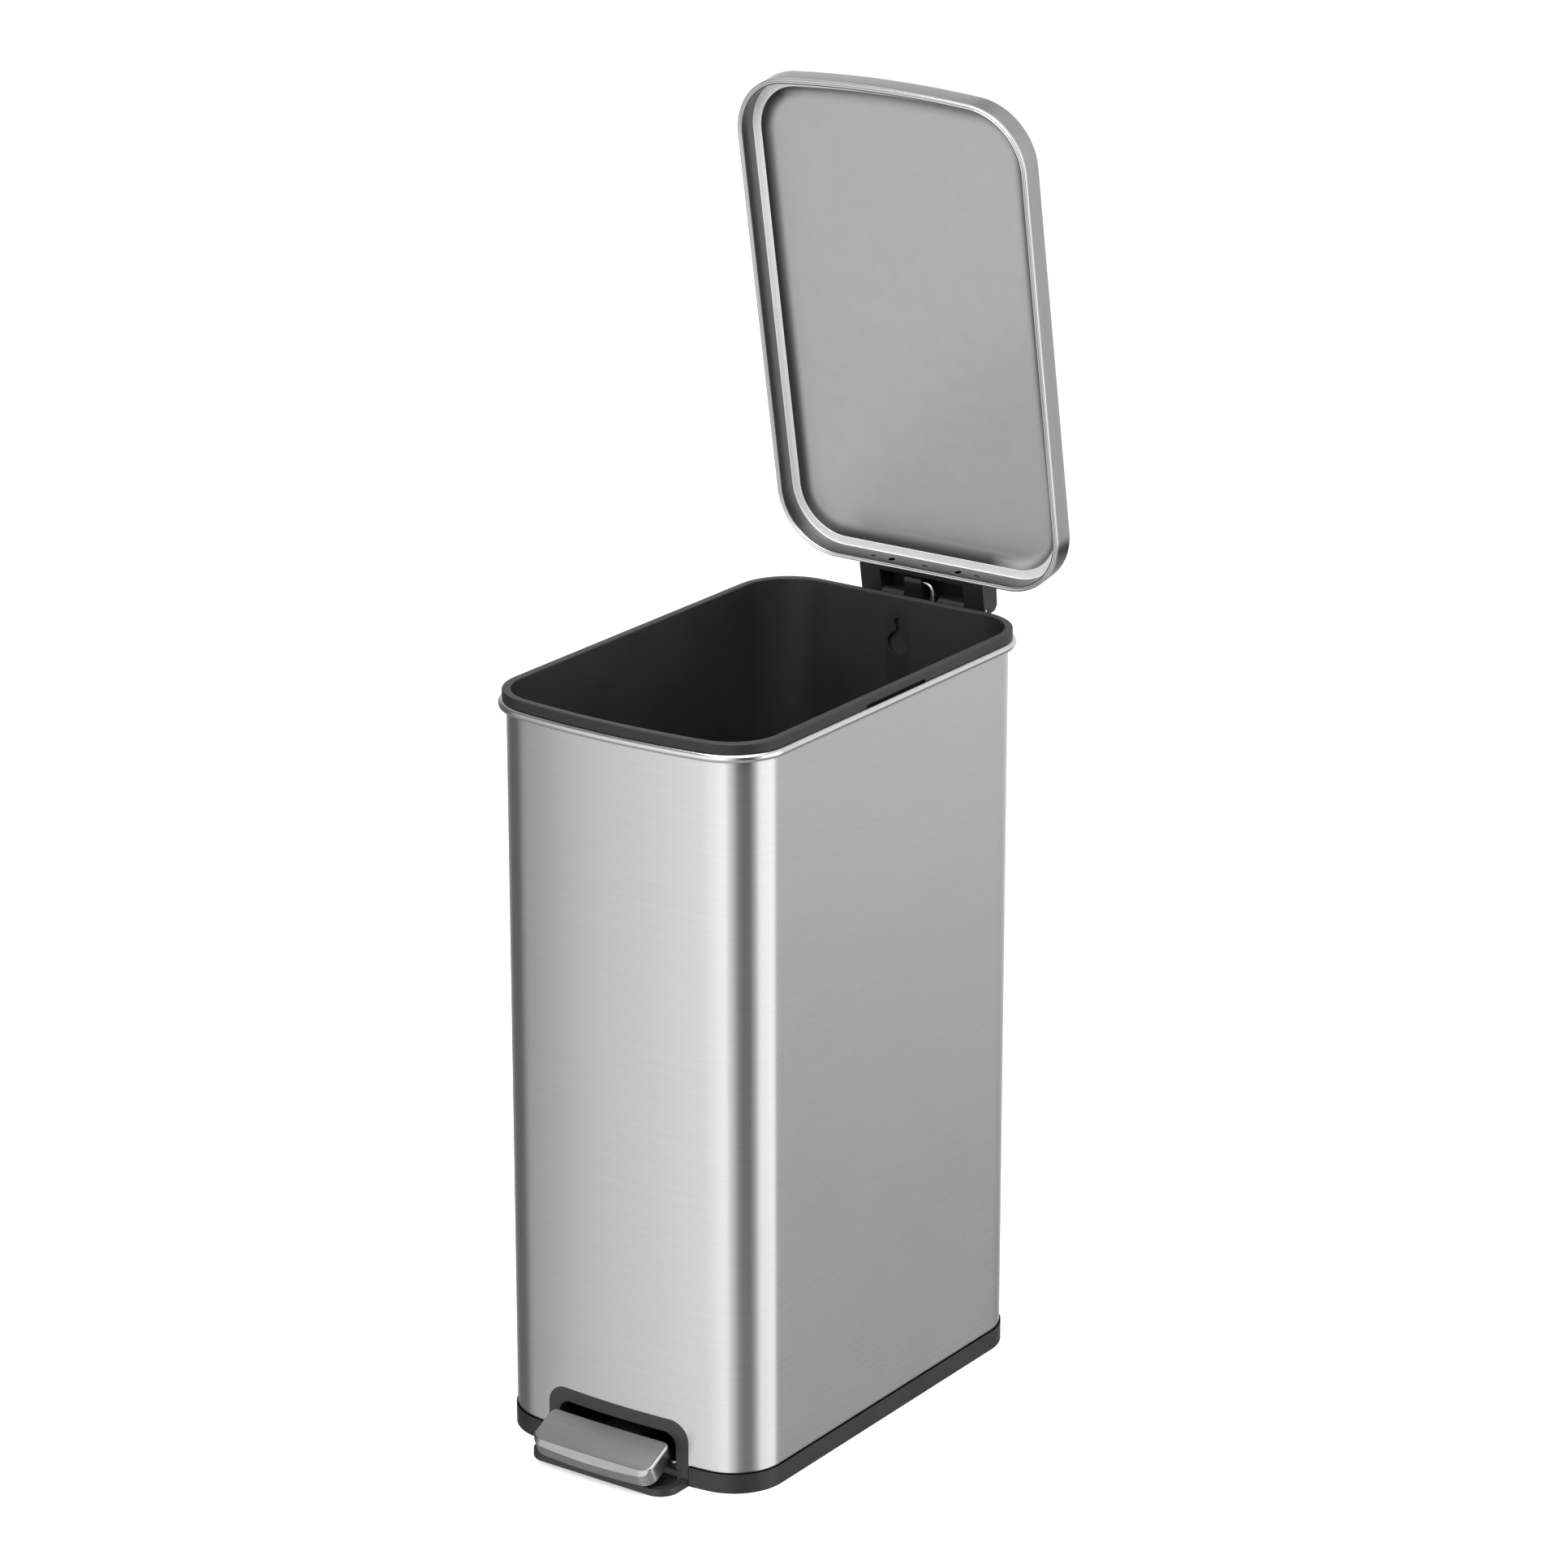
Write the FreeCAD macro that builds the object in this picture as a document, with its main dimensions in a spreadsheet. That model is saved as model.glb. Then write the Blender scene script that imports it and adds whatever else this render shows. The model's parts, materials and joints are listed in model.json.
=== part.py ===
import FreeCAD, Part
import math
import os
import re
import Sketcher

# Pedal trash can: a bow-fronted steel sleeve with a lift-out plastic bucket, a hinged steel lid, and a
# pedal whose lever pushes a wire rod up the back of the can to raise the lid.
#
# Frame: millimetres, origin on the floor under the centre of the sleeve, +Z up, -Y towards the pedal,
# +X to the right of somebody who faces the pedal. The lid is drawn closed and then turned up about its
# hinge line to the open stand; the pedal is drawn pressed down, which is where it is with the lid open.

Vector = FreeCAD.Vector
doc = FreeCAD.newDocument("PedalCan")
sheet = doc.addObject("Spreadsheet::Sheet", "Sizes")

DRIVING_SIZES = {
    # sleeve outline: a rounded rectangle whose front side is a long arc
    "can_width": 260.0,
    "can_depth": 416.0,
    "can_corner": 46.0,
    "can_front_radius": 687.6,
    "shell_wall": 0.6,
    "shell_bottom": 18.0,
    "shell_top": 647.0,
    # opening in the rear wall for the lever's tail
    "tail_cut_left": 10.0,
    "tail_cut_right": 8.0,
    "tail_cut_bottom": 22.0,
    "tail_cut_top": 66.0,
    "tail_cut_deep": 10.0,
    # half-round bead that runs round the sleeve under the rim
    "bead_bottom": 634.5,
    "bead_top": 641.5,
    "bead_proud": 6.8,
    # bucket
    "rim_top": 650.0,
    "rim_outside": 3.55,
    "rim_inside": 3.76,
    "rim_sheet": 2.6,
    "skirt_wall": 1.8,
    "skirt_bottom": 641.8,
    "bucket_wall": 1.7,
    "bucket_bottom": 64.0,
    "bucket_draft": 11.0,
    "bucket_floor": 2.2,
    "notch_length": 86.0,
    "notch_middle": 2.3,
    "notch_top": 644.2,
    "keyhole_small": 3.6,
    "keyhole_small_z": 628.0,
    "keyhole_neck": 4.4,
    "keyhole_big": 10.4,
    "keyhole_big_z": 609.0,
    "keyhole_reach": 22.0,
    # base tray
    "base_proud": 1.2,
    "base_wall": 2.5,
    "base_floor": 3.0,
    "base_sheet": 2.5,
    "upstand_top": 34.0,
    "upstand_gap": 0.8,
    "shelf_sheet": 3.0,
    "rib_x": 45.0,
    "rib_sheet": 2.0,
    "rib_height": 8.0,
    "rib_front_y": -170.0,
    "rib_rear_y": 190.0,
    "cross_rib_end": 122.0,
    "cross_rib_front": -110.0,
    "cross_rib_middle": 60.0,
    "cross_rib_rear": 140.0,
    "post_inner": 22.0,
    "post_outer": 30.0,
    "post_half": 9.0,
    "post_above": 7.0,
    "foot_radius": 11.0,
    "foot_x": 88.0,
    "foot_front_y": -150.0,
    "foot_rear_y": 165.0,
    # pedal surround
    "frame_half": 71.5,
    "frame_top": 56.0,
    "frame_corner": 18.0,
    "frame_proud": 0.8,
    "frame_back_y": -196.0,
    "mouth_half": 60.0,
    "mouth_bottom": 6.4,
    "mouth_top": 44.5,
    "mouth_corner": 12.0,
    "lip_half": 72.2,
    "lip_front_y": -237.5,
    "lip_corner": 17.0,
    "lip_band": 7.0,
    "lip_reach": 3.5,
    "pan_floor": 2.5,
    "tab_half": 58.0,
    "tab_root": 4.0,
    "tab_deep": 14.0,
    "tab_sheet": 2.5,
    "tab_screw_x": 46.0,
    "tab_screw_in": 8.0,
    # lid, drawn closed
    "lid_width": 285.2,
    "lid_depth": 441.2,
    "lid_corner": 55.6,
    "lid_front_radius": 1110.0,
    "lid_hem": 634.0,
    "lid_top": 658.0,
    "lid_edge": 5.0,
    "lid_skin": 0.6,
    "hem_width": 5.0,
    "hem_height": 4.2,
    "hem_round": 1.6,
    "pan_inset": 4.0,
    "pan_sheet": 0.5,
    "ledge_z": 650.7,
    "ledge_inner": 12.3,
    "panel_z": 655.6,
    "panel_inner": 16.5,
    # hinge line and the open stand of the lid
    "hinge_y": 246.0,
    "hinge_z": 637.6,
    "open_angle": 79.86,
    "pin_radius": 2.2,
    "pin_end_gap": 0.4,
    "running_gap": 0.05,
    # how far one step of a body reaches into the last one, so that they join
    "join_overlap": 0.1,
    "knuckle_radius": 5.2,
    "knuckle_outer": 42.0,
    "knuckle_left": 19.5,
    "knuckle_right": 15.5,
    "knuckle_neck": 4.2,
    # hinge bracket on the lid, drawn closed
    "bracket_half": 62.9,
    "bracket_nose": 3.8,
    "heel_y": 250.0,
    "heel_low_z": 643.2,
    "heel_high_z": 649.5,
    "shoulder_y": 246.4,
    "shoulder_z": 653.3,
    "bracket_top": 656.0,
    "recess_half": 42.5,
    "recess_front_y": 223.5,
    "bracket_web": 2.5,
    "lug_left": 17.5,
    "lug_right": 1.0,
    "lug_radius": 5.2,
    "lug_heel_y": 246.5,
    "apron_y": 252.6,
    "apron_sheet": 2.5,
    "apron_rise": 0.8,
    "lug_root": 0.3,
    "bracket_screw_x": 34.0,
    "bracket_screw_z": 641.5,
    "bracket_screw_head": 2.7,
    "bracket_thread": 2.8,
    "pan_screw_hole": 2.9,
    "slot_x": 53.0,
    "slot_half": 3.0,
    "slot_half_high": 0.8,
    # lift rod, its hook in the lug and its foot in the lever
    "hook_closed_y": 230.685,
    "hook_closed_z": 638.306,
    "hook_open_y": 244.0,
    "hook_open_z": 652.8,
    "rod_foot_y": 217.0,
    "rod_foot_z": 50.0,
    "rod_radius": 2.0,
    "rod_x": 9.0,
    "rod_bend": 8.0,
    "hook_end": 19.0,
    "foot_end": 9.5,
    "rod_clip_in": 1.5,
    "rod_clip_wide": 2.0,
    "rod_clip_proud": 2.4,
    # lever and its axle
    "axle_y": -20.0,
    "axle_z": 26.0,
    "axle_radius": 3.0,
    "lever_half": 17.0,
    "lever_sheet": 2.0,
    "lever_top": 31.0,
    "lever_bottom": 21.0,
    "lever_front_y": -212.0,
    "lever_rear_y": 150.0,
    "tongue_front_y": -238.0,
    "axle_half": 34.0,
    "axle_clip_x": 30.6,
    "axle_clip_wide": 1.2,
    "axle_clip_proud": 2.2,
    "bush_barrel": 3.6,
    "bush_rim": 4.6,
    "bush_rim_wide": 1.5,
    # flat tail of the lever and the window in it for the rod's foot
    "tail_left": -3.0,
    "tail_sheet": 3.0,
    "tail_root": 40.0,
    "tail_eye_front": 8.4,
    "tail_eye_rear": 5.6,
    "tail_eye_low": 5.6,
    "tail_eye_high": 7.6,
    "window_gap": 0.35,
    "window_front": 3.2,
    "window_high": 2.7,
    # pedal, drawn level with its origin on the front crease and then tilted
    "pedal_tilt": 25.86,
    "crease_y": -245.6,
    "crease_z": 24.4,
    "pedal_half": 60.5,
    "pedal_bow": 690.0,
    "tread_bow": 2500.0,
    "pedal_rear": 34.5,
    "pedal_chamfer": 5.2,
    "pedal_deep": 15.3,
    "pedal_front_corner": 11.0,
    "pedal_rear_corner": 6.0,
    "cap_sheet": 1.0,
    "core_below": 1.2,
    "core_wall": 2.5,
    "lever_room": 0.5,
    "core_rear_gap": 3.0,
    "core_pocket_inner": 18.0,
    "core_pocket_outer": 50.0,
    "core_pocket_front": 5.0,
    "core_pocket_rear": 24.0,
    "rivet_x": 9.0,
    "rivet_y": 21.0,
    "rivet_bottom": -11.2,
    "rivet_length": 6.5,
    "rivet_radius": 2.2,
    # hinge housing and rod cover on the back of the sleeve
    "back_gap": 0.2,
    "housing_half": 61.0,
    "housing_top": 631.0,
    "housing_bottom": 557.0,
    "housing_deep_top": 251.0,
    "housing_deep_low": 249.0,
    "housing_wall": 2.5,
    "housing_corner": 8.0,
    "rod_slot_half": 4.5,
    "rod_slot_front_y": 224.0,
    "rod_slot_rear_y": 249.5,
    "rod_gate_front_y": 213.0,
    "rod_gate_rear_y": 245.0,
    "ear_half": 73.0,
    "ear_bottom": 566.0,
    "ear_top": 622.0,
    "ear_sheet": 3.0,
    "ear_screw_in": 12.0,
    "cover_half": 18.0,
    "cover_bottom": 19.5,
    "cover_top": 556.5,
    "cover_deep_low": 227.5,
    "cover_deep_top": 247.0,
    "cover_wall": 2.0,
    "cover_ear": 27.0,
    "cover_corner": 6.0,
    "cover_screw_low": 90.0,
    "cover_screw_middle": 300.0,
    "cover_screw_high": 500.0,
    "guide_bottom": 318.0,
    "guide_height": 8.0,
    "guide_rear_y": 236.0,
    "guide_slot_half": 2.8,
    "guide_slot_front_y": 216.0,
    "guide_slot_rear_y": 234.0,
    # screws
    "screw_head": 3.6,
    "screw_head_deep": 1.8,
    "screw_shank": 1.6,
}


def fill_sheet():
    """One row for each driving size: its name, and its value under an alias of that name."""
    for row, (alias, value) in enumerate(DRIVING_SIZES.items(), start=1):
        sheet.set(f"A{row}", alias)
        sheet.set(f"B{row}", str(value))
        sheet.setAlias(f"B{row}", alias)
    doc.recompute()


def number(expression):
    """The value that an expression written with sheet aliases has now."""
    return float(sheet.evalExpression(str(expression)))


def bound(expression):
    """The same expression as another object of the document has to write it."""
    return re.sub(r"\b([a-z]+(?:_[a-z]+)+)\b", r"Sizes.\1", str(expression))


# ---------------------------------------------------------------- bodies, sketches and features


def new_body(label):
    body = doc.addObject("PartDesign::Body", label)
    body.Label = label
    return body


def new_sketch(body, name, plane, start="0"):
    """A sketch on one of the body's own planes, moved along that plane's normal by the start expression.

    XY_Plane draws (x, y) and faces +Z, YZ_Plane draws (y, z) and faces +X, and XZ_Plane draws (x, z)
    and faces -Y, so its start is minus the y of its plane.
    """
    sketch = body.newObject("Sketcher::SketchObject", f"{body.Label}_{name}")
    support = next(feature for feature in body.Origin.OriginFeatures if feature.Role == plane)
    sketch.AttachmentSupport = [(support, "")]
    sketch.MapMode = "FlatFace"
    sketch.setExpression("AttachmentOffset.Base.z", bound(start))
    return sketch


def constrain(sketch, name, expression, *where):
    """A dimension of the sketch, named and bound to the sheet."""
    index = sketch.addConstraint(Sketcher.Constraint(*where, number(expression)))
    unique = f"{name}_{index}"
    sketch.renameConstraint(index, unique)
    sketch.setExpression(f".Constraints.{unique}", bound(expression))


def polygon(sketch, corners):
    """A closed run of lines through the corners, each a pair of expressions."""
    places = [Vector(number(across), number(up), 0) for across, up in corners]
    first = sketch.GeometryCount
    count = len(corners)
    for index in range(count):
        sketch.addGeometry(Part.LineSegment(places[index], places[(index + 1) % count]))
    for index in range(count):
        following = first + (index + 1) % count
        sketch.addConstraint(Sketcher.Constraint("Coincident", first + index, 2, following, 1))
    for index, (across, up) in enumerate(corners):
        constrain(sketch, "across", across, "DistanceX", -1, 1, first + index, 1)
        constrain(sketch, "up", up, "DistanceY", -1, 1, first + index, 1)


def rectangle(sketch, left, right, low, high):
    polygon(sketch, [(left, low), (right, low), (right, high), (left, high)])


def gateway(sketch, half, low, high, corner):
    """A rectangle centred on x = 0 whose two upper corners are rounded."""
    x, z_low, z_high, r = number(half), number(low), number(high), number(corner)
    x_top, z_side = x - r, z_high - r
    right, up, left = 0.0, math.pi / 2, math.pi
    pieces = [
        Part.LineSegment(Vector(-x, z_low, 0), Vector(x, z_low, 0)),
        Part.LineSegment(Vector(x, z_low, 0), Vector(x, z_side, 0)),
        arc((x_top, z_side), r, right, up),
        Part.LineSegment(Vector(x_top, z_high, 0), Vector(-x_top, z_high, 0)),
        arc((-x_top, z_side), r, up, left),
        Part.LineSegment(Vector(-x, z_side, 0), Vector(-x, z_low, 0)),
    ]
    sketch.addGeometry(pieces)
    for index in (0, 5):
        following = (index + 1) % len(pieces)
        sketch.addConstraint(Sketcher.Constraint("Coincident", index, 2, following, 1))
    for index in (1, 2, 3, 4):
        sketch.addConstraint(Sketcher.Constraint("Tangent", index, 2, index + 1, 1))
    for index in (1, 5):
        sketch.addConstraint(Sketcher.Constraint("Vertical", index))
    for index in (0, 3):
        sketch.addConstraint(Sketcher.Constraint("Horizontal", index))
    constrain(sketch, "right", half, "DistanceX", -1, 1, 1, 1)
    constrain(sketch, "left", f"-({half})", "DistanceX", -1, 1, 5, 2)
    constrain(sketch, "low", low, "DistanceY", -1, 1, 0, 1)
    constrain(sketch, "high", high, "DistanceY", -1, 1, 3, 1)
    constrain(sketch, "corner", corner, "Radius", 2)
    constrain(sketch, "corner", corner, "Radius", 4)


def circle(sketch, across, up, radius):
    centre = Vector(number(across), number(up), 0)
    index = sketch.addGeometry(Part.Circle(centre, Vector(0, 0, 1), number(radius)))
    constrain(sketch, "across", across, "DistanceX", -1, 1, index, 3)
    constrain(sketch, "up", up, "DistanceY", -1, 1, index, 3)
    constrain(sketch, "radius", radius, "Radius", index)


def arc(centre, radius, start, end):
    turned = Part.Circle(Vector(centre[0], centre[1], 0), Vector(0, 0, 1), radius)
    return Part.ArcOfCircle(turned, start, end)


def outline(sketch, family, offset="0"):
    """The bowed rounded rectangle of the can or the lid, moved outwards by the offset expression."""
    half_width = f"{family}_width / 2 + ({offset})"
    half_depth = f"{family}_depth / 2 + ({offset})"
    corner = f"{family}_corner + ({offset})"
    front = f"{family}_front_radius + ({offset})"
    front_centre = f"{family}_front_radius - {family}_depth / 2"
    x_side, y_back = number(half_width), number(half_depth)
    r_corner, r_front = number(corner), number(front)
    y_arc = number(front_centre)
    x_corner = x_side - r_corner
    y_rear = y_back - r_corner
    y_front = y_arc - math.sqrt((r_front - r_corner) ** 2 - x_corner**2)
    lean = math.atan2(x_corner, y_arc - y_front)
    down, right, up, left = -math.pi / 2, 0.0, math.pi / 2, math.pi
    pieces = [
        arc((0, y_arc), r_front, down - lean, down + lean),
        arc((x_corner, y_front), r_corner, down + lean, right),
        Part.LineSegment(Vector(x_side, y_front, 0), Vector(x_side, y_rear, 0)),
        arc((x_corner, y_rear), r_corner, right, up),
        Part.LineSegment(Vector(x_corner, y_back, 0), Vector(-x_corner, y_back, 0)),
        arc((-x_corner, y_rear), r_corner, up, left),
        Part.LineSegment(Vector(-x_side, y_rear, 0), Vector(-x_side, y_front, 0)),
        arc((-x_corner, y_front), r_corner, left, left + up - lean),
    ]
    first = sketch.GeometryCount
    sketch.addGeometry(pieces)
    front_arc, right_side, rear_side, left_side = first, first + 2, first + 4, first + 6
    for index in range(len(pieces)):
        following = first + (index + 1) % len(pieces)
        sketch.addConstraint(Sketcher.Constraint("Tangent", first + index, 2, following, 1))
    for side in (right_side, left_side):
        sketch.addConstraint(Sketcher.Constraint("Vertical", side))
    sketch.addConstraint(Sketcher.Constraint("Horizontal", rear_side))
    constrain(sketch, "right", half_width, "DistanceX", -1, 1, right_side, 1)
    constrain(sketch, "left", f"-({half_width})", "DistanceX", -1, 1, left_side, 1)
    constrain(sketch, "back", half_depth, "DistanceY", -1, 1, rear_side, 1)
    sketch.addConstraint(Sketcher.Constraint("PointOnObject", front_arc, 3, -2))
    constrain(sketch, "bow_centre", front_centre, "DistanceY", -1, 1, front_arc, 3)
    constrain(sketch, "bow", front, "Radius", front_arc)
    for index in (first + 1, first + 3, first + 5, first + 7):
        constrain(sketch, "corner", corner, "Radius", index)


def pad(body, sketch, length, both_ways=False):
    """Material from the sketch's plane along its normal, or half of it each way."""
    feature = body.newObject("PartDesign::Pad", f"{sketch.Name}_pad")
    feature.Profile = sketch
    feature.SideType = "Symmetric" if both_ways else "One side"
    feature.setExpression("Length", bound(length))
    doc.recompute()
    return feature


def pocket(body, sketch, length, both_ways=False):
    """Takes material away from the sketch's plane along its normal, or half of the length each way."""
    before = body.Tip.Shape.Volume
    feature = body.newObject("PartDesign::Pocket", f"{sketch.Name}_pocket")
    feature.Profile = sketch
    feature.SideType = "Symmetric" if both_ways else "One side"
    feature.Reversed = not both_ways
    feature.setExpression("Length", bound(length))
    doc.recompute()
    if not feature.Shape.Volume < before - 0.01:
        raise RuntimeError(f"{feature.Name} took nothing away")
    return feature


def fillet(body, radius, chosen):
    """Rounds the edges of the body's last feature for which chosen(edge) holds."""
    base = body.Tip
    names = [f"Edge{i}" for i, edge in enumerate(base.Shape.Edges, start=1) if chosen(edge)]
    if not names:
        raise RuntimeError(f"{body.Label} has no edge to round")
    feature = body.newObject("PartDesign::Fillet", f"{base.Name}_round")
    feature.Base = (base, names)
    feature.setExpression("Radius", bound(radius))
    doc.recompute()
    return feature


def box_of(edge):
    return edge.BoundBox


def upright_at(x, y, reach=0.6):
    """Chooses straight upright edges near (|x|, y)."""

    def chosen(edge):
        b = box_of(edge)
        near = abs(abs(b.Center.x) - x) < reach and abs(b.Center.y - y) < reach
        return near and b.XLength + b.YLength < 0.01 and b.ZLength > 0.5

    return chosen


def along_y_at(x, z, reach=0.6):
    """Chooses straight edges that run front to back near (|x|, z)."""

    def chosen(edge):
        b = box_of(edge)
        near = abs(abs(b.Center.x) - x) < reach and abs(b.Center.z - z) < reach
        return near and b.XLength + b.ZLength < 0.01

    return chosen


def cylinder(label, axis, centre, start, length, radius):
    """A Part cylinder along X, Y or Z; centre holds the two expressions across the axis."""
    solid = doc.addObject("Part::Cylinder", label)
    solid.setExpression("Radius", bound(radius))
    solid.setExpression("Height", bound(length))
    across, other = centre
    spots = {"X": (start, across, other), "Y": (across, start, other), "Z": (across, other, start)}
    turns = {"X": (Vector(0, 1, 0), 90), "Y": (Vector(1, 0, 0), -90), "Z": (Vector(0, 0, 1), 0)}
    solid.Placement = FreeCAD.Placement(Vector(), FreeCAD.Rotation(*turns[axis]))
    for letter, expression in zip("xyz", spots[axis]):
        solid.setExpression(f"Placement.Base.{letter}", bound(expression))
    return solid


def fuse(label, solids):
    joined = doc.addObject("Part::MultiFuse", label)
    joined.Label = label
    joined.Shapes = solids
    doc.recompute()
    return joined


def cut(label, base, tool):
    left = doc.addObject("Part::Cut", label)
    left.Label = label
    left.Base = base
    left.Tool = tool
    doc.recompute()
    return left


def screws(label, axis, seats, head_start, shank_start, shank_length, head="screw_head"):
    """Round-headed screws at the seats, as one group of separate solids."""
    solids = []
    for index, seat in enumerate(seats):
        head_name, shank_name = f"{label}_head_{index}", f"{label}_shank_{index}"
        solids.append(cylinder(head_name, axis, seat, head_start, "screw_head_deep", head))
        solids.append(cylinder(shank_name, axis, seat, shank_start, shank_length, "screw_shank"))
    return fuse(label, solids)


# ---------------------------------------------------------------- sleeve, bead and bucket


def make_body_shell():
    """The steel sleeve, open at both ends, cut away for the pedal and for the lever's tail."""
    body = new_body("body_shell")
    ring = new_sketch(body, "ring", "XY_Plane", "shell_bottom")
    outline(ring, "can")
    outline(ring, "can", "-shell_wall")
    pad(body, ring, "shell_top - shell_bottom")
    front = new_sketch(body, "front_cut", "XZ_Plane", "can_depth / 4")
    gateway(front, "frame_half", "shell_bottom - 1", "frame_top", "frame_corner")
    pocket(body, front, "can_depth / 2")
    rear = new_sketch(body, "tail_cut", "XZ_Plane", "-can_depth / 2 - 1")
    rectangle(rear, "-tail_cut_left", "tail_cut_right", "tail_cut_bottom", "tail_cut_top")
    pocket(body, rear, "tail_cut_deep")
    return body


def make_rim_bead():
    """Half-round steel bead round the outside of the sleeve."""
    body = new_body("rim_bead")
    ring = new_sketch(body, "ring", "XY_Plane", "bead_bottom")
    outline(ring, "can", "bead_proud")
    outline(ring, "can")
    pad(body, ring, "bead_top - bead_bottom")
    reach = number("can_width / 2 + bead_proud")
    deep = number("can_depth / 2 + bead_proud")

    def outer_rim(edge):
        b = box_of(edge)
        far = max(abs(b.XMin), abs(b.XMax)) / reach, max(abs(b.YMin), abs(b.YMax)) / deep
        return b.ZLength < 0.01 and max(far) > 0.999

    fillet(body, "(bead_top - bead_bottom) / 2 - 0.1", outer_rim)
    return body


def make_liner_bucket():
    """The tapered bucket, its folded rim that hangs over the sleeve's edge, and the bag keyhole."""
    body = new_body("liner_bucket")
    underside = "rim_top - rim_sheet"
    low_out = new_sketch(body, "low_outside", "XY_Plane", "bucket_bottom")
    outline(low_out, "can", "bucket_wall - rim_inside - bucket_draft")
    high_out = new_sketch(body, "high_outside", "XY_Plane", underside)
    outline(high_out, "can", "bucket_wall - rim_inside")
    outside = body.newObject("PartDesign::AdditiveLoft", "liner_bucket_outside")
    outside.Profile = low_out
    outside.Sections = [high_out]
    outside.Ruled = True
    doc.recompute()
    lip = new_sketch(body, "lip", "XY_Plane", underside)
    outline(lip, "can", "rim_outside")
    pad(body, lip, "rim_sheet")
    skirt = new_sketch(body, "skirt", "XY_Plane", "skirt_bottom")
    outline(skirt, "can", "rim_outside")
    outline(skirt, "can", "rim_outside - skirt_wall")
    pad(body, skirt, "rim_top - rim_sheet - skirt_bottom")
    low_in = new_sketch(body, "low_inside", "XY_Plane", "bucket_bottom + bucket_floor")
    outline(low_in, "can", "-rim_inside - bucket_draft")
    high_in = new_sketch(body, "high_inside", "XY_Plane", "rim_top + join_overlap")
    outline(high_in, "can", "-rim_inside")
    inside = body.newObject("PartDesign::SubtractiveLoft", "liner_bucket_inside")
    inside.Profile = low_in
    inside.Sections = [high_in]
    inside.Ruled = True
    doc.recompute()
    cut_finger_notches(body)
    keyhole = new_sketch(body, "keyhole", "XZ_Plane", "-can_depth / 2 - 2")
    circle(keyhole, "0", "keyhole_big_z", "keyhole_big")
    pocket(body, keyhole, "keyhole_reach")
    small = new_sketch(body, "keyhole_top", "XZ_Plane", "-can_depth / 2 - 2")
    circle(small, "0", "keyhole_small_z", "keyhole_small")
    pocket(body, small, "keyhole_reach")
    neck = new_sketch(body, "keyhole_neck", "XZ_Plane", "-can_depth / 2 - 2")
    half_neck = "keyhole_neck / 2"
    rectangle(neck, f"-{half_neck}", half_neck, "keyhole_big_z", "keyhole_small_z")
    pocket(body, neck, "keyhole_reach")
    return body


def cut_finger_notches(body):
    """A shallow notch in the skirt's lower edge on each side, to lift the bucket by."""
    skirt_outside = "can_width / 2 + rim_outside"
    starts = f"{skirt_outside} - skirt_wall - 0.5", f"-({skirt_outside}) - 0.5"
    for name, start in zip(("right_notch", "left_notch"), starts):
        notch = new_sketch(body, name, "YZ_Plane", start)
        ends = "notch_middle - notch_length / 2", "notch_middle + notch_length / 2"
        rectangle(notch, *ends, "skirt_bottom - 1", "notch_top")
        pocket(body, notch, "skirt_wall + 1")


# ---------------------------------------------------------------- base and pedal surround


def make_base_tray():
    """Plastic tray: outer skirt, upstand inside the sleeve, ribbed floor and the axle's posts."""
    body = new_body("base_tray")
    skirt = new_sketch(body, "skirt", "XY_Plane", "0")
    outline(skirt, "can", "base_proud")
    outline(skirt, "can", "base_proud - base_wall")
    pad(body, skirt, "shell_bottom")
    floor = new_sketch(body, "floor", "XY_Plane", "base_floor")
    outline(floor, "can", "base_proud - base_wall + join_overlap")
    pad(body, floor, "base_sheet")
    shelf = new_sketch(body, "shelf", "XY_Plane", "shell_bottom - shelf_sheet")
    outline(shelf, "can", "base_proud - base_wall + join_overlap")
    outline(shelf, "can", "-upstand_gap - base_wall")
    pad(body, shelf, "shelf_sheet")
    upstand = new_sketch(body, "upstand", "XY_Plane", "shell_bottom - shelf_sheet")
    outline(upstand, "can", "-upstand_gap")
    outline(upstand, "can", "-upstand_gap - base_wall")
    pad(body, upstand, "upstand_top - shell_bottom + shelf_sheet")
    gap = new_sketch(body, "surround_gap", "XY_Plane", "-1")
    rectangle(gap, "-lip_half - 0.1", "lip_half + 0.1", "-can_depth / 2 - 20", "frame_back_y + 0.3")
    pocket(body, gap, "upstand_top + 2")
    tail = new_sketch(body, "tail_gap", "XZ_Plane", "-can_depth / 2 - 0.4")
    rectangle(tail, "-tail_cut_left", "tail_cut_right", "tail_cut_bottom", "upstand_top + 2")
    pocket(body, tail, "tail_cut_deep")
    add_floor_ribs(body)
    add_axle_posts(body)
    seats = new_sketch(body, "surround_screw_holes", "XY_Plane", "0")
    for x, y in surround_screw_seats():
        circle(seats, x, y, "screw_shank")
    pocket(body, seats, "base_floor + base_sheet + 1")
    return body


def mirrored_rectangles(sketch, inner, outer, low, high):
    """Two rectangles that mirror each other about x = 0."""
    rectangle(sketch, inner, outer, low, high)
    rectangle(sketch, f"-({outer})", f"-({inner})", low, high)


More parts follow.
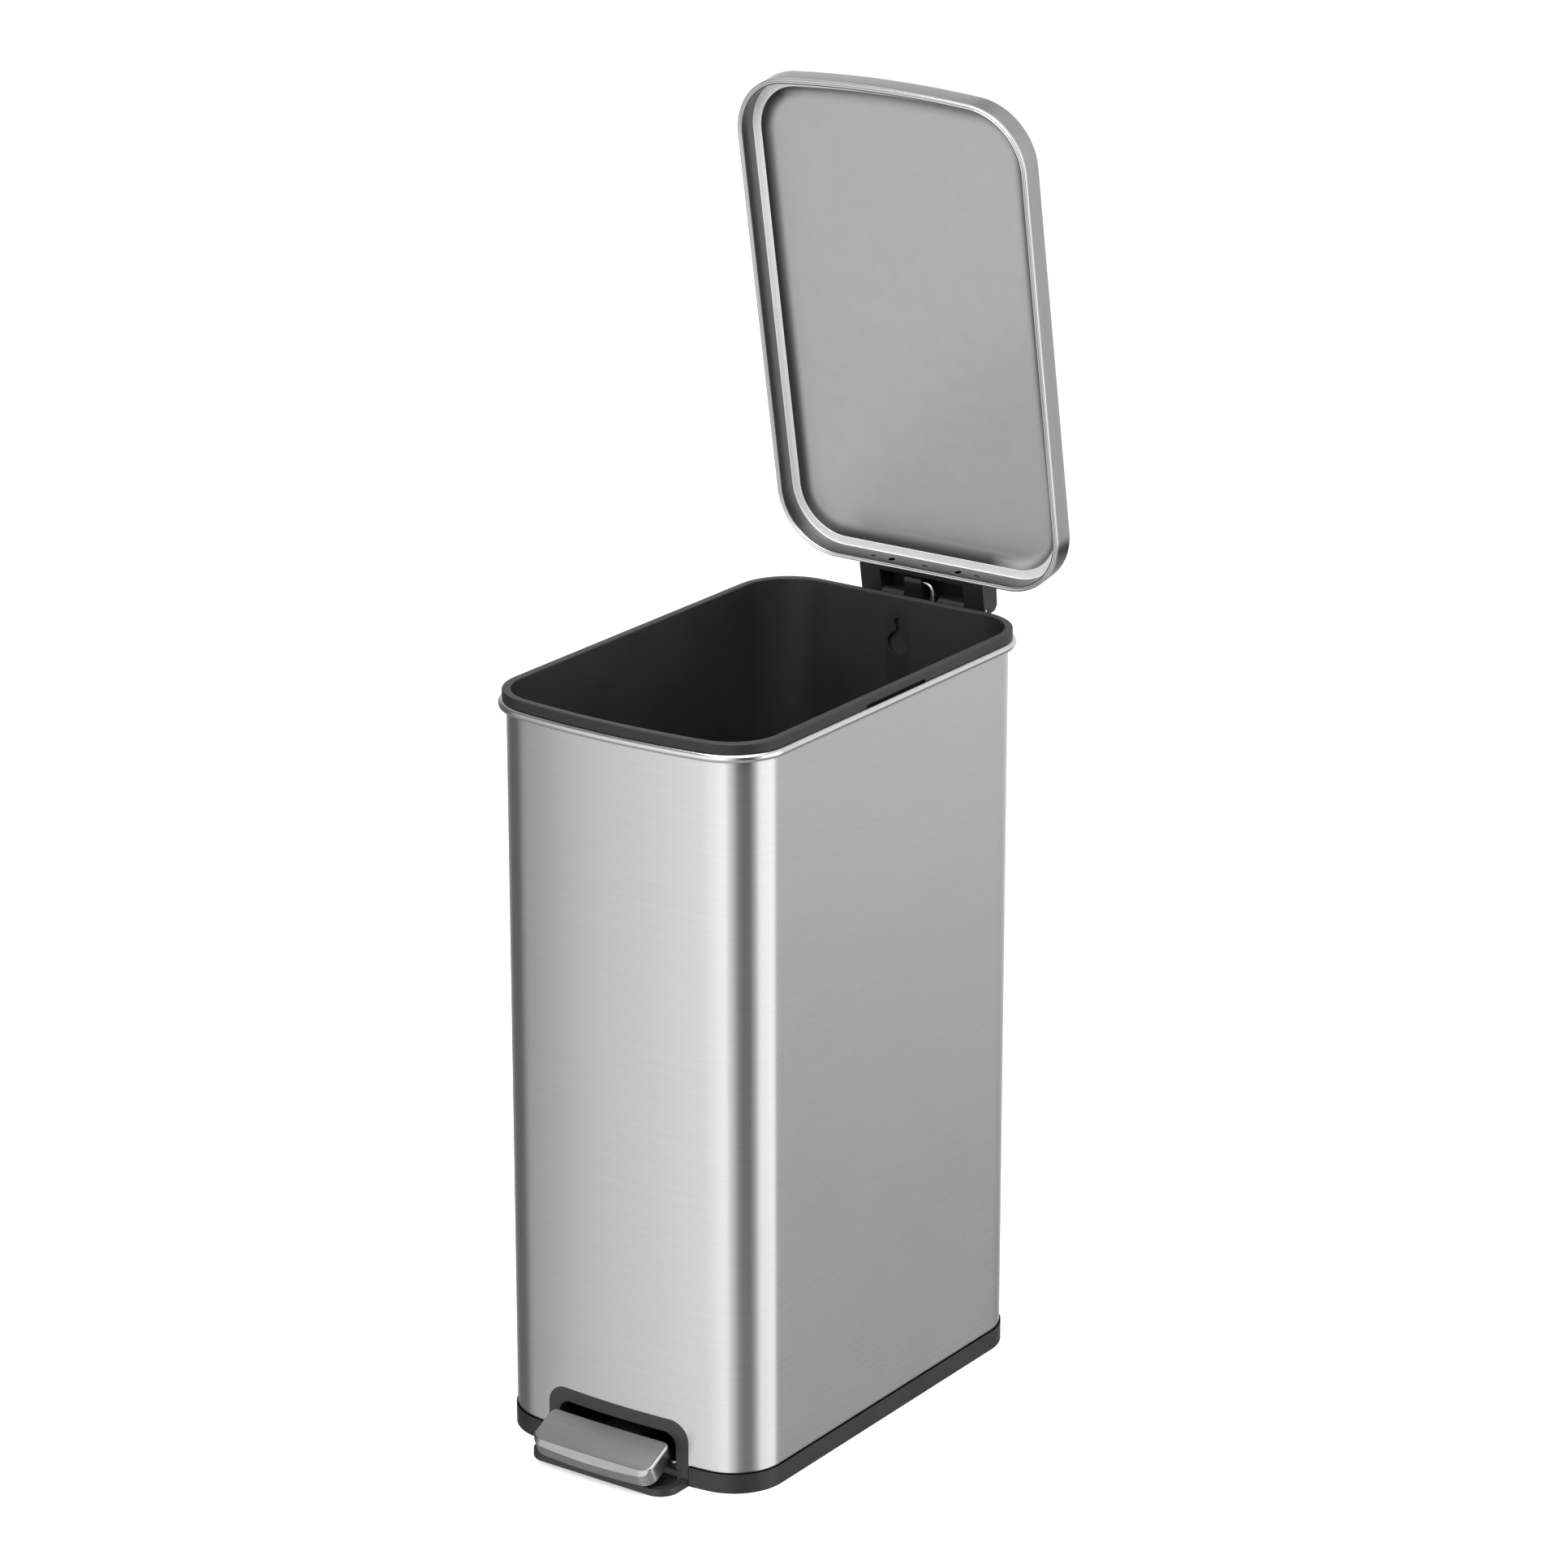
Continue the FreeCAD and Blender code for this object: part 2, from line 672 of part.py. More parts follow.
def add_floor_ribs(body):
    """Two long ribs on the tray's floor and three pairs of cross ribs out to its sides."""
    start = "base_floor + base_sheet - join_overlap"
    long_ribs = new_sketch(body, "ribs", "XY_Plane", start)
    ends = "rib_front_y", "rib_rear_y"
    mirrored_rectangles(long_ribs, "rib_x - rib_sheet / 2", "rib_x + rib_sheet / 2", *ends)
    pad(body, long_ribs, "rib_height")
    for place in ("cross_rib_front", "cross_rib_middle", "cross_rib_rear"):
        cross = new_sketch(body, place, "XY_Plane", start)
        mirrored_rectangles(cross, "rib_x", "cross_rib_end", place, f"{place} + rib_sheet")
        pad(body, cross, "rib_height")


def add_axle_posts(body):
    """Two posts on the tray's floor that hold the lever's axle."""
    posts = new_sketch(body, "axle_posts", "XY_Plane", "base_floor + base_sheet - join_overlap")
    mirrored_rectangles(posts, "post_inner", "post_outer", "axle_y - post_half", "axle_y + post_half")
    pad(body, posts, "axle_z - base_floor - base_sheet + post_above")
    bore = new_sketch(body, "axle_bore", "YZ_Plane")
    circle(bore, "axle_y", "axle_z", "axle_radius")
    pocket(body, bore, "2 * post_outer + 2", both_ways=True)


def make_foot_pads():
    """Four rubber discs under the tray's floor, flush with the skirt's lower edge."""
    spots = [(f"{side} * foot_x", y) for side in (-1, 1) for y in ("foot_front_y", "foot_rear_y")]
    pads = [
        cylinder(f"foot_pad_{i}", "Z", spot, "0", "base_floor", "foot_radius")
        for i, spot in enumerate(spots)
    ]
    return fuse("foot_pads", pads)


def make_pedal_surround():
    """Frame flush with the sleeve's front, with the pedal's mouth in it and a lip along the floor."""
    body = new_body("pedal_surround")
    plan = new_sketch(body, "plan", "XY_Plane", "0")
    outline(plan, "can", "frame_proud")
    pad(body, plan, "frame_top")
    trim = new_sketch(body, "trim_back", "XY_Plane", "-1")
    rectangle(trim, "-can_width", "can_width", "frame_back_y", "can_depth")
    pocket(body, trim, "frame_top + 2")
    for side, name in ((1, "trim_right"), (-1, "trim_left")):
        across = new_sketch(body, name, "XY_Plane", "-1")
        near, far = f"{side} * frame_half", f"{side} * can_width"
        rectangle(across, *((near, far) if side > 0 else (far, near)), "-can_depth", "can_depth")
        pocket(body, across, "frame_top + 2")
    fillet(body, "frame_corner", along_y_at(number("frame_half"), number("frame_top")))
    lip = new_sketch(body, "lip", "XY_Plane", "0")
    rectangle(lip, "-lip_half", "lip_half", "lip_front_y", "-can_depth / 2 + lip_reach")
    pad(body, lip, "mouth_bottom")
    fillet(body, "lip_corner", upright_at(number("lip_half"), number("lip_front_y")))
    mouth = new_sketch(body, "mouth", "XZ_Plane", "can_depth / 4")
    gateway(mouth, "mouth_half", "mouth_bottom - 0.01", "mouth_top", "mouth_corner")
    pocket(body, mouth, "can_depth / 2")
    pan = new_sketch(body, "pan", "XY_Plane", "pan_floor")
    inner = "lip_half - lip_band", "lip_front_y + lip_band"
    rectangle(pan, f"-({inner[0]})", inner[0], inner[1], "-can_depth / 2 + lip_reach - join_overlap")
    pocket(body, pan, "10")
    fillet(body, "lip_corner - lip_band", upright_at(number(inner[0]), number(inner[1])))
    through = new_sketch(body, "pan_through", "XY_Plane", "pan_floor")
    rectangle(through, "-mouth_half", "mouth_half", "-can_depth / 2 - 5", "frame_back_y + 1")
    pocket(body, through, "mouth_bottom - pan_floor + join_overlap")
    tab = new_sketch(body, "rear_tab", "XY_Plane", "base_floor + base_sheet")
    rectangle(tab, "-tab_half", "tab_half", "frame_back_y - tab_root", "frame_back_y + tab_deep")
    pad(body, tab, "tab_sheet")
    foot = new_sketch(body, "tab_root", "XY_Plane", "pan_floor - join_overlap")
    rectangle(foot, "-tab_half", "tab_half", "frame_back_y - tab_root", "frame_back_y")
    pad(body, foot, "base_floor + base_sheet - pan_floor + 2 * join_overlap")
    holes = new_sketch(body, "screw_holes", "XY_Plane", "base_floor")
    for x, y in surround_screw_seats():
        circle(holes, x, y, "screw_shank")
    pocket(body, holes, "base_sheet + tab_sheet + 1")
    return body


def surround_screw_seats():
    return [(f"{side} * tab_screw_x", "frame_back_y + tab_screw_in") for side in (-1, 1)]


def make_surround_screws():
    top = "base_floor + base_sheet + tab_sheet"
    shank = "base_sheet + tab_sheet + 0.5"
    return screws("surround_screws", "Z", surround_screw_seats(), top, "base_floor", shank)


# ---------------------------------------------------------------- hinge housing and rod cover


def make_hinge_housing():
    """Hollow block on the back of the sleeve with two fixed knuckles for the hinge pins."""
    body = new_body("hinge_housing")
    back = "can_depth / 2 + back_gap"
    block = new_sketch(body, "block", "YZ_Plane")
    polygon(block, [
        (back, "housing_bottom"),
        ("housing_deep_low", "housing_bottom"),
        ("housing_deep_top", "housing_top"),
        (back, "housing_top"),
    ])
    pad(body, block, "2 * housing_half", both_ways=True)
    fillet(body, "housing_corner", leaning_rear_edge(number("housing_deep_low")))
    add_knuckle(body, "left", "-knuckle_outer", "knuckle_outer - knuckle_left")
    add_knuckle(body, "right", "knuckle_right", "knuckle_outer - knuckle_right")
    hollow = new_sketch(body, "hollow", "YZ_Plane")
    polygon(hollow, [
        (f"{back} - 1", "housing_bottom + housing_wall"),
        ("housing_deep_low - housing_wall", "housing_bottom + housing_wall"),
        ("housing_deep_top - housing_wall", "housing_top - housing_wall"),
        (f"{back} - 1", "housing_top - housing_wall"),
    ])
    pocket(body, hollow, "2 * (housing_half - housing_wall)", both_ways=True)
    ears = new_sketch(body, "ears", "XZ_Plane", f"-({back} + ear_sheet)")
    rectangle(ears, "-ear_half", "-housing_half + 1", "ear_bottom", "ear_top")
    rectangle(ears, "housing_half - 1", "ear_half", "ear_bottom", "ear_top")
    pad(body, ears, "ear_sheet")
    slot = new_sketch(body, "rod_slot", "XY_Plane", "housing_top - housing_wall - 1")
    sides = "rod_x - rod_slot_half", "rod_x + rod_slot_half"
    rectangle(slot, *sides, "rod_slot_front_y", "rod_slot_rear_y")
    pocket(body, slot, "housing_wall + 2")
    gate = new_sketch(body, "rod_gate", "XY_Plane", "housing_bottom - 1")
    sides = "-cover_half + cover_wall", "cover_half - cover_wall"
    rectangle(gate, *sides, "rod_gate_front_y", "rod_gate_rear_y")
    pocket(body, gate, "housing_wall + 2")
    bore = new_sketch(body, "pin_bore", "YZ_Plane")
    circle(bore, "hinge_y", "hinge_z", "pin_radius")
    pocket(body, bore, "2 * knuckle_outer + 4", both_ways=True)
    holes = new_sketch(body, "screw_holes", "XZ_Plane", f"-({back} + ear_sheet + 1)")
    for x, z in housing_screw_seats():
        circle(holes, x, z, "screw_shank")
    pocket(body, holes, "ear_sheet + 2")
    return body


def leaning_rear_edge(rear):
    """Chooses the long edges at the back of a block whose rear face starts at y = rear."""

    def chosen(edge):
        b = box_of(edge)
        return b.YMin > rear - 0.1 and b.XLength < 0.01 and b.ZLength > 20

    return chosen


def add_knuckle(body, side, start, length):
    """A round eye for a hinge pin, on a short neck that stands on the housing."""
    neck = new_sketch(body, f"neck_{side}", "YZ_Plane", start)
    front, rear = "hinge_y - knuckle_neck", "hinge_y + knuckle_neck"
    rectangle(neck, front, rear, "housing_top - join_overlap", "hinge_z - 2")
    pad(body, neck, length)
    eye = new_sketch(body, f"eye_{side}", "YZ_Plane", start)
    circle(eye, "hinge_y", "hinge_z", "knuckle_radius")
    pad(body, eye, length)


def housing_screw_seats():
    middle = "(ear_half + housing_half) / 2"
    heights = "ear_bottom + ear_screw_in", "ear_top - ear_screw_in"
    return [(f"{side} * {middle}", z) for side in (-1, 1) for z in heights]


def make_housing_screws():
    back = "can_depth / 2 + back_gap + ear_sheet"
    return screws("housing_screws", "Y", housing_screw_seats(), back, f"{back} - ear_sheet", "ear_sheet + 1")


def make_hinge_pins():
    """Two short pins, one each side of the lift rod."""
    left = cylinder("hinge_pin_left", "X", ("hinge_y", "hinge_z"), "-bracket_half + pin_end_gap",
                    "bracket_half - knuckle_left - pin_end_gap", "pin_radius")
    right = cylinder("hinge_pin_right", "X", ("hinge_y", "hinge_z"), "knuckle_right",
                     "bracket_half - knuckle_right - pin_end_gap", "pin_radius")
    return fuse("hinge_pins", [left, right])


def cover_screw_seats():
    middle = "(cover_ear + cover_half) / 2 + 0.5"
    heights = "cover_screw_low", "cover_screw_middle", "cover_screw_high"
    return [(f"{side} * ({middle})", z) for side in (-1, 1) for z in heights]


def make_rod_cover():
    """Slim cover down the back of the sleeve, deeper at the top, that hides the lift rod."""
    body = new_body("rod_cover")
    back = "can_depth / 2 + back_gap"
    block = new_sketch(body, "block", "YZ_Plane")
    polygon(block, [
        (back, "cover_bottom"),
        ("cover_deep_low", "cover_bottom"),
        ("cover_deep_top", "cover_top"),
        (back, "cover_top"),
    ])
    pad(body, block, "2 * cover_half", both_ways=True)
    fillet(body, "cover_corner", leaning_rear_edge(number("cover_deep_low")))
    hollow = new_sketch(body, "hollow", "YZ_Plane")
    polygon(hollow, [
        (f"{back} - 1", "cover_bottom + cover_wall"),
        ("cover_deep_low - cover_wall", "cover_bottom + cover_wall"),
        ("cover_deep_top - cover_wall", "cover_top + 1"),
        (f"{back} - 1", "cover_top + 1"),
    ])
    pocket(body, hollow, "2 * (cover_half - cover_wall)", both_ways=True)
    ears = new_sketch(body, "ears", "XZ_Plane", f"-({back} + cover_wall)")
    rectangle(ears, "-cover_ear", "-cover_half + 1", "cover_bottom", "cover_top")
    rectangle(ears, "cover_half - 1", "cover_ear", "cover_bottom", "cover_top")
    pad(body, ears, "cover_wall")
    holes = new_sketch(body, "screw_holes", "XZ_Plane", f"-({back} + cover_wall + 1)")
    for x, z in cover_screw_seats():
        circle(holes, x, z, "screw_shank")
    pocket(body, holes, "cover_wall + 2")
    return body


def make_cover_screws():
    back = "can_depth / 2 + back_gap + cover_wall"
    return screws("cover_screws", "Y", cover_screw_seats(), back, f"{back} - cover_wall", "cover_wall + 1")


def make_rod_guide():
    """Nylon guide inside the cover, with a slot that lets the rod sway."""
    body = new_body("rod_guide")
    block = new_sketch(body, "block", "XY_Plane", "guide_bottom")
    sides = "-cover_half + cover_wall", "cover_half - cover_wall"
    rectangle(block, *sides, "can_depth / 2 + 1", "guide_rear_y")
    pad(body, block, "guide_height")
    slot = new_sketch(body, "slot", "XY_Plane", "guide_bottom - 1")
    sides = "rod_x - guide_slot_half", "rod_x + guide_slot_half"
    rectangle(slot, *sides, "guide_slot_front_y", "guide_slot_rear_y")
    pocket(body, slot, "guide_height + 2")
    return body


# ---------------------------------------------------------------- lid, drawn closed


def make_lid_shell():
    """The lid's outer skin: a shallow pan with a rounded top edge and a rolled hem."""
    body = new_body("lid_shell")
    block = new_sketch(body, "block", "XY_Plane", "lid_hem")
    outline(block, "lid")
    pad(body, block, "lid_top - lid_hem")
    top = number("lid_top")
    fillet(body, "lid_edge", lambda edge: box_of(edge).ZMin > top - 0.01)
    hollow = new_sketch(body, "hollow", "XY_Plane", "lid_hem + hem_height")
    outline(hollow, "lid", "-lid_skin")
    pocket(body, hollow, "lid_top - lid_hem - hem_height - lid_edge - 0.2")
    crown = new_sketch(body, "crown", "XY_Plane", "lid_top - lid_edge - 0.3")
    outline(crown, "lid", "-lid_edge")
    pocket(body, crown, "lid_edge + 0.3 - lid_skin")
    mouth = new_sketch(body, "mouth", "XY_Plane", "lid_hem - 1")
    outline(mouth, "lid", "-hem_width")
    pocket(body, mouth, "hem_height + 2")
    hem = number("lid_hem")
    fillet(body, "hem_round", lambda edge: box_of(edge).ZMax < hem + 0.01)
    holes = new_sketch(body, "screw_holes", "XZ_Plane", "-lid_depth / 2 - 2")
    for side in (-1, 1):
        circle(holes, f"{side} * bracket_screw_x", "bracket_screw_z", "screw_shank")
    pocket(body, holes, "4")
    return body


def make_lid_inner_pan():
    """The pressed pan inside the lid: side wall, flat ledge over the bucket's rim, and raised panel."""
    body = new_body("lid_inner_pan")
    foot = "lid_hem + hem_height"
    wall = new_sketch(body, "wall", "XY_Plane", foot)
    outline(wall, "lid", "-pan_inset")
    outline(wall, "lid", "-pan_inset - pan_sheet")
    pad(body, wall, f"ledge_z + pan_sheet - ({foot})")
    ledge = new_sketch(body, "ledge", "XY_Plane", "ledge_z")
    outline(ledge, "lid", "-pan_inset - join_overlap")
    outline(ledge, "lid", "-ledge_inner")
    pad(body, ledge, "pan_sheet")
    low = new_sketch(body, "riser_low", "XY_Plane", "ledge_z")
    outline(low, "lid", "-ledge_inner + pan_sheet")
    high = new_sketch(body, "riser_high", "XY_Plane", "panel_z + pan_sheet")
    outline(high, "lid", "-panel_inner + pan_sheet")
    riser = body.newObject("PartDesign::AdditiveLoft", "lid_inner_pan_riser")
    riser.Profile = low
    riser.Sections = [high]
    riser.Ruled = True
    doc.recompute()
    low_in = new_sketch(body, "riser_low_in", "XY_Plane", "ledge_z - 0.01")
    outline(low_in, "lid", "-ledge_inner")
    high_in = new_sketch(body, "riser_high_in", "XY_Plane", "panel_z")
    outline(high_in, "lid", "-panel_inner")
    hollow = body.newObject("PartDesign::SubtractiveLoft", "lid_inner_pan_hollow")
    hollow.Profile = low_in
    hollow.Sections = [high_in]
    hollow.Ruled = True
    doc.recompute()
    holes = new_sketch(body, "rear_holes", "XZ_Plane", "-lid_depth / 2 + pan_inset - 1")
    for side in (-1, 1):
        circle(holes, f"{side} * bracket_screw_x", "bracket_screw_z", "pan_screw_hole")
    low, high = "bracket_screw_z - slot_half_high", "bracket_screw_z + slot_half_high"
    for place in ("-slot_x", "0", "slot_x"):
        rectangle(holes, f"{place} - slot_half", f"{place} + slot_half", low, high)
    pocket(body, holes, "4")
    return body


def make_hinge_bracket():
    """Block behind the lid with an end cheek on each hinge pin and a lug that takes the rod's hook."""
    body = new_body("hinge_bracket")
    wall = "lid_depth / 2"
    side_view = new_sketch(body, "side_view", "YZ_Plane")
    polygon(side_view, [
        (wall, "hinge_z - bracket_nose"),
        ("hinge_y", "hinge_z - bracket_nose"),
        ("hinge_y + bracket_nose", "hinge_z"),
        ("heel_y", "heel_low_z"),
        ("heel_y", "heel_high_z"),
        ("shoulder_y", "shoulder_z"),
        (wall, "bracket_top"),
    ])
    pad(body, side_view, "2 * bracket_half", both_ways=True)
    tip = new_sketch(body, "nose", "YZ_Plane")
    circle(tip, "hinge_y", "hinge_z", "bracket_nose")
    pad(body, tip, "2 * bracket_half", both_ways=True)
    recess = new_sketch(body, "recess", "YZ_Plane")
    polygon(recess, [
        ("recess_front_y", "hinge_z - bracket_nose - 1"),
        ("heel_y + 1", "hinge_z - bracket_nose - 1"),
        ("heel_y + 1", "heel_low_z + apron_rise"),
        ("heel_y - bracket_web", "heel_low_z + apron_rise"),
        ("heel_y - bracket_web", "heel_high_z - 1"),
        ("shoulder_y - 1", "shoulder_z - bracket_web"),
        ("recess_front_y", "bracket_top - bracket_web - 0.5"),
    ])
    pocket(body, recess, "2 * recess_half", both_ways=True)
    apron = new_sketch(body, "apron", "YZ_Plane")
    rectangle(apron, "heel_y - bracket_web", "apron_y", "heel_low_z + apron_rise",
              "heel_low_z + apron_rise + apron_sheet")
    pad(body, apron, "2 * recess_half", both_ways=True)
    lug = new_sketch(body, "lug", "YZ_Plane", "-lug_left")
    polygon(lug, [
        ("hook_closed_y - lug_radius", "hook_closed_z"),
        ("hook_closed_y", "hook_closed_z - lug_radius"),
        ("lug_heel_y", "hook_closed_z - lug_radius + 1"),
        ("heel_y - bracket_web + lug_root", "heel_low_z + 2"),
        ("heel_y - bracket_web + lug_root", "heel_high_z - 1"),
        ("shoulder_y - 1", "shoulder_z - bracket_web + 0.2"),
        ("hook_closed_y - lug_radius", "shoulder_z - bracket_web + 1.2"),
    ])
    pad(body, lug, "lug_left - lug_right")
    lug_end = new_sketch(body, "lug_end", "YZ_Plane", "-lug_left")
    circle(lug_end, "hook_closed_y", "hook_closed_z", "lug_radius")
    pad(body, lug_end, "lug_left - lug_right")
    hook = new_sketch(body, "hook_bore", "YZ_Plane", "-lug_left - 1")
    circle(hook, "hook_closed_y", "hook_closed_z", "rod_radius + running_gap")
    pocket(body, hook, "lug_left - lug_right + 2")
    bore = new_sketch(body, "pin_bore", "YZ_Plane")
    circle(bore, "hinge_y", "hinge_z", "pin_radius + running_gap")
    pocket(body, bore, "2 * bracket_half + 2", both_ways=True)
    holes = new_sketch(body, "screw_holes", "XZ_Plane", f"-({wall}) - bracket_thread - join_overlap")
    for side in (-1, 1):
        circle(holes, f"{side} * bracket_screw_x", "bracket_screw_z", "screw_shank")
    pocket(body, holes, "4")
    return body


def make_bracket_screws():
    """Two screws from inside the lid, their heads in the space between the pan and the skin."""
    seats = [(f"{side} * bracket_screw_x", "bracket_screw_z") for side in (-1, 1)]
    skin = "lid_depth / 2 - lid_skin"
    head_start, shank = f"{skin} - screw_head_deep", "lid_skin + bracket_thread"
    return screws("bracket_screws", "Y", seats, head_start, skin, shank, "bracket_screw_head")


# ---------------------------------------------------------------- lift rod


def rod_length():
    rise = number("hook_open_z - rod_foot_z")
    back = number("hook_open_y - rod_foot_y")
    return math.hypot(rise, back)


def make_lift_rod():
    """Wire bent to a hook at each end; drawn upright from its foot and then leaned back."""
    body = new_body("lift_rod")
    length = "sqrt((hook_open_z - rod_foot_z)^2 + (hook_open_y - rod_foot_y)^2)"
    path = new_sketch(body, "path", "XZ_Plane")
    bend, run, high = number("rod_bend"), number("rod_x"), rod_length()
    knee = run - bend
    down, right, up = -math.pi / 2, 0.0, math.pi / 2
    pieces = [
        Part.LineSegment(Vector(-number("foot_end"), 0, 0), Vector(knee, 0, 0)),
        arc((knee, bend), bend, down, right),
        Part.LineSegment(Vector(run, bend, 0), Vector(run, high - bend, 0)),
        arc((knee, high - bend), bend, right, up),
        Part.LineSegment(Vector(knee, high, 0), Vector(-number("hook_end"), high, 0)),
    ]
    path.addGeometry(pieces)
    for index in range(len(pieces) - 1):
        path.addConstraint(Sketcher.Constraint("Tangent", index, 2, index + 1, 1))
    path.addConstraint(Sketcher.Constraint("PointOnObject", 0, 1, -1))
    path.addConstraint(Sketcher.Constraint("Horizontal", 0))
    path.addConstraint(Sketcher.Constraint("Vertical", 2))
    path.addConstraint(Sketcher.Constraint("Horizontal", 4))
    constrain(path, "foot", "-foot_end", "DistanceX", -1, 1, 0, 1)
    constrain(path, "run", "rod_x", "DistanceX", -1, 1, 2, 1)
    constrain(path, "high", length, "DistanceY", -1, 1, 4, 1)
    constrain(path, "hook", "-hook_end", "DistanceX", -1, 1, 4, 2)
    constrain(path, "low_bend", "rod_bend", "Radius", 1)
    constrain(path, "high_bend", "rod_bend", "Radius", 3)
    section = new_sketch(body, "section", "YZ_Plane", "-foot_end")
    circle(section, "0", "0", "rod_radius")
    doc.recompute()
    wire = body.newObject("PartDesign::AdditivePipe", "lift_rod_wire")
    wire.Profile = section
    wire.Spine = path
    doc.recompute()
    return body


def make_rod_clip():
    """Push-on ring that keeps the rod's foot in the lever."""
    start, outside = "-foot_end + rod_clip_in", "rod_radius + rod_clip_proud"
    ring = cylinder("rod_clip_disc", "X", ("0", "0"), start, "rod_clip_wide", outside)
    hole_start, hole_length = f"{start} - 0.5", "rod_clip_wide + 1"
    hole = cylinder("rod_clip_hole", "X", ("0", "0"), hole_start, hole_length, "rod_radius")
    return cut("rod_clip", ring, hole)


# ---------------------------------------------------------------- pedal and lever, drawn pressed


def make_pedal_lever():
    """Steel channel that rocks on the axle, a tongue under the pedal and a slotted tail for the rod."""
    body = new_body("pedal_lever")
    side_view = new_sketch(body, "side_view", "YZ_Plane")
    polygon(side_view, [
        ("lever_front_y", "lever_bottom"),
        ("lever_rear_y", "lever_bottom"),
        ("lever_rear_y", "lever_top"),
        ("lever_front_y", "lever_top"),
    ])
    pad(body, side_view, "2 * lever_half", both_ways=True)
    hollow = new_sketch(body, "hollow", "YZ_Plane")
    polygon(hollow, [
        ("lever_front_y - 1", "lever_bottom - 1"),
        ("lever_rear_y + 1", "lever_bottom - 1"),
        ("lever_rear_y + 1", "lever_top - lever_sheet"),
        ("lever_front_y - 1", "lever_top - lever_sheet"),
    ])
    pocket(body, hollow, "2 * (lever_half - lever_sheet)", both_ways=True)
    tongue = new_sketch(body, "tongue", "YZ_Plane")
    drop = "(lever_front_y - tongue_front_y) * tan(pedal_tilt)"
    polygon(tongue, [
        ("tongue_front_y", f"lever_top - {drop}"),
        ("tongue_front_y", f"lever_top - lever_sheet - {drop}"),
        ("lever_front_y + 1", "lever_top - lever_sheet"),
        ("lever_front_y + 1", "lever_top"),
        ("lever_front_y", "lever_top"),
    ])
    pad(body, tongue, "2 * (lever_half - lever_sheet)", both_ways=True)
    tail = new_sketch(body, "tail", "YZ_Plane", "tail_left")
    polygon(tail, [
        ("lever_rear_y - tail_root", "lever_bottom + 2"),
        ("lever_rear_y + 10", "lever_bottom + 2"),
        ("rod_foot_y - tail_eye_front", "rod_foot_z - tail_eye_low"),
        ("rod_foot_y + tail_eye_rear", "rod_foot_z - tail_eye_low"),
        ("rod_foot_y + tail_eye_rear", "rod_foot_z + tail_eye_high"),
        ("rod_foot_y - tail_eye_front", "rod_foot_z + tail_eye_high"),
        ("lever_rear_y", "lever_top"),
        ("lever_rear_y - tail_root", "lever_top"),
    ])
    pad(body, tail, "tail_sheet")
    window = new_sketch(body, "rod_window", "YZ_Plane", "tail_left - 1")
    front, rear = "rod_foot_y - rod_radius - window_front", "rod_foot_y + rod_radius + window_gap"
    low, high = "rod_foot_z - rod_radius - window_gap", "rod_foot_z + rod_radius + window_high"
    rectangle(window, front, rear, low, high)
    pocket(body, window, "tail_sheet + 2")
    bore = new_sketch(body, "bush_bore", "YZ_Plane")
    circle(bore, "axle_y", "axle_z", "bush_barrel")
    pocket(body, bore, "2 * lever_half + 2", both_ways=True)
    return body


def make_lever_bushes():
    """Nylon bushes in the lever's two flanges."""
    centre = "axle_y", "axle_z"
    outer, inner = "lever_half + bush_rim_wide", "lever_half - lever_sheet - 1"
    starts = {"left": (f"-({outer})", f"-({outer})"), "right": (inner, "lever_half")}
    bushes = []
    for name, (barrel_start, rim_start) in starts.items():
        length = f"{outer} - ({inner})"
        bushes.append(cylinder(f"bush_barrel_{name}", "X", centre, barrel_start, length, "bush_barrel"))
        bushes.append(cylinder(f"bush_rim_{name}", "X", centre, rim_start, "bush_rim_wide", "bush_rim"))
    solid = fuse("bush_blanks", bushes)
    length = "2 * axle_half"
    hole = cylinder("bush_hole", "X", centre, "-axle_half", length, "axle_radius + running_gap")
    return cut("lever_bushes", solid, hole)


def make_lever_axle():
    centre = "axle_y", "axle_z"
    return cylinder("lever_axle", "X", centre, "-axle_half", "2 * axle_half", "axle_radius")


def make_axle_clips():
    """Retaining rings on the axle outside the posts."""
    centre = "axle_y", "axle_z"
    starts = {"left": "-axle_clip_x - axle_clip_wide", "right": "axle_clip_x"}
    outside = "axle_radius + axle_clip_proud"
    rings = [
        cylinder(f"axle_clip_{name}", "X", centre, start, "axle_clip_wide", outside)
        for name, start in starts.items()
    ]
    hole = cylinder("axle_clip_hole", "X", centre, "-axle_half", "2 * axle_half", "axle_radius")
    return cut("axle_clips", fuse("axle_clip_blanks", rings), hole)


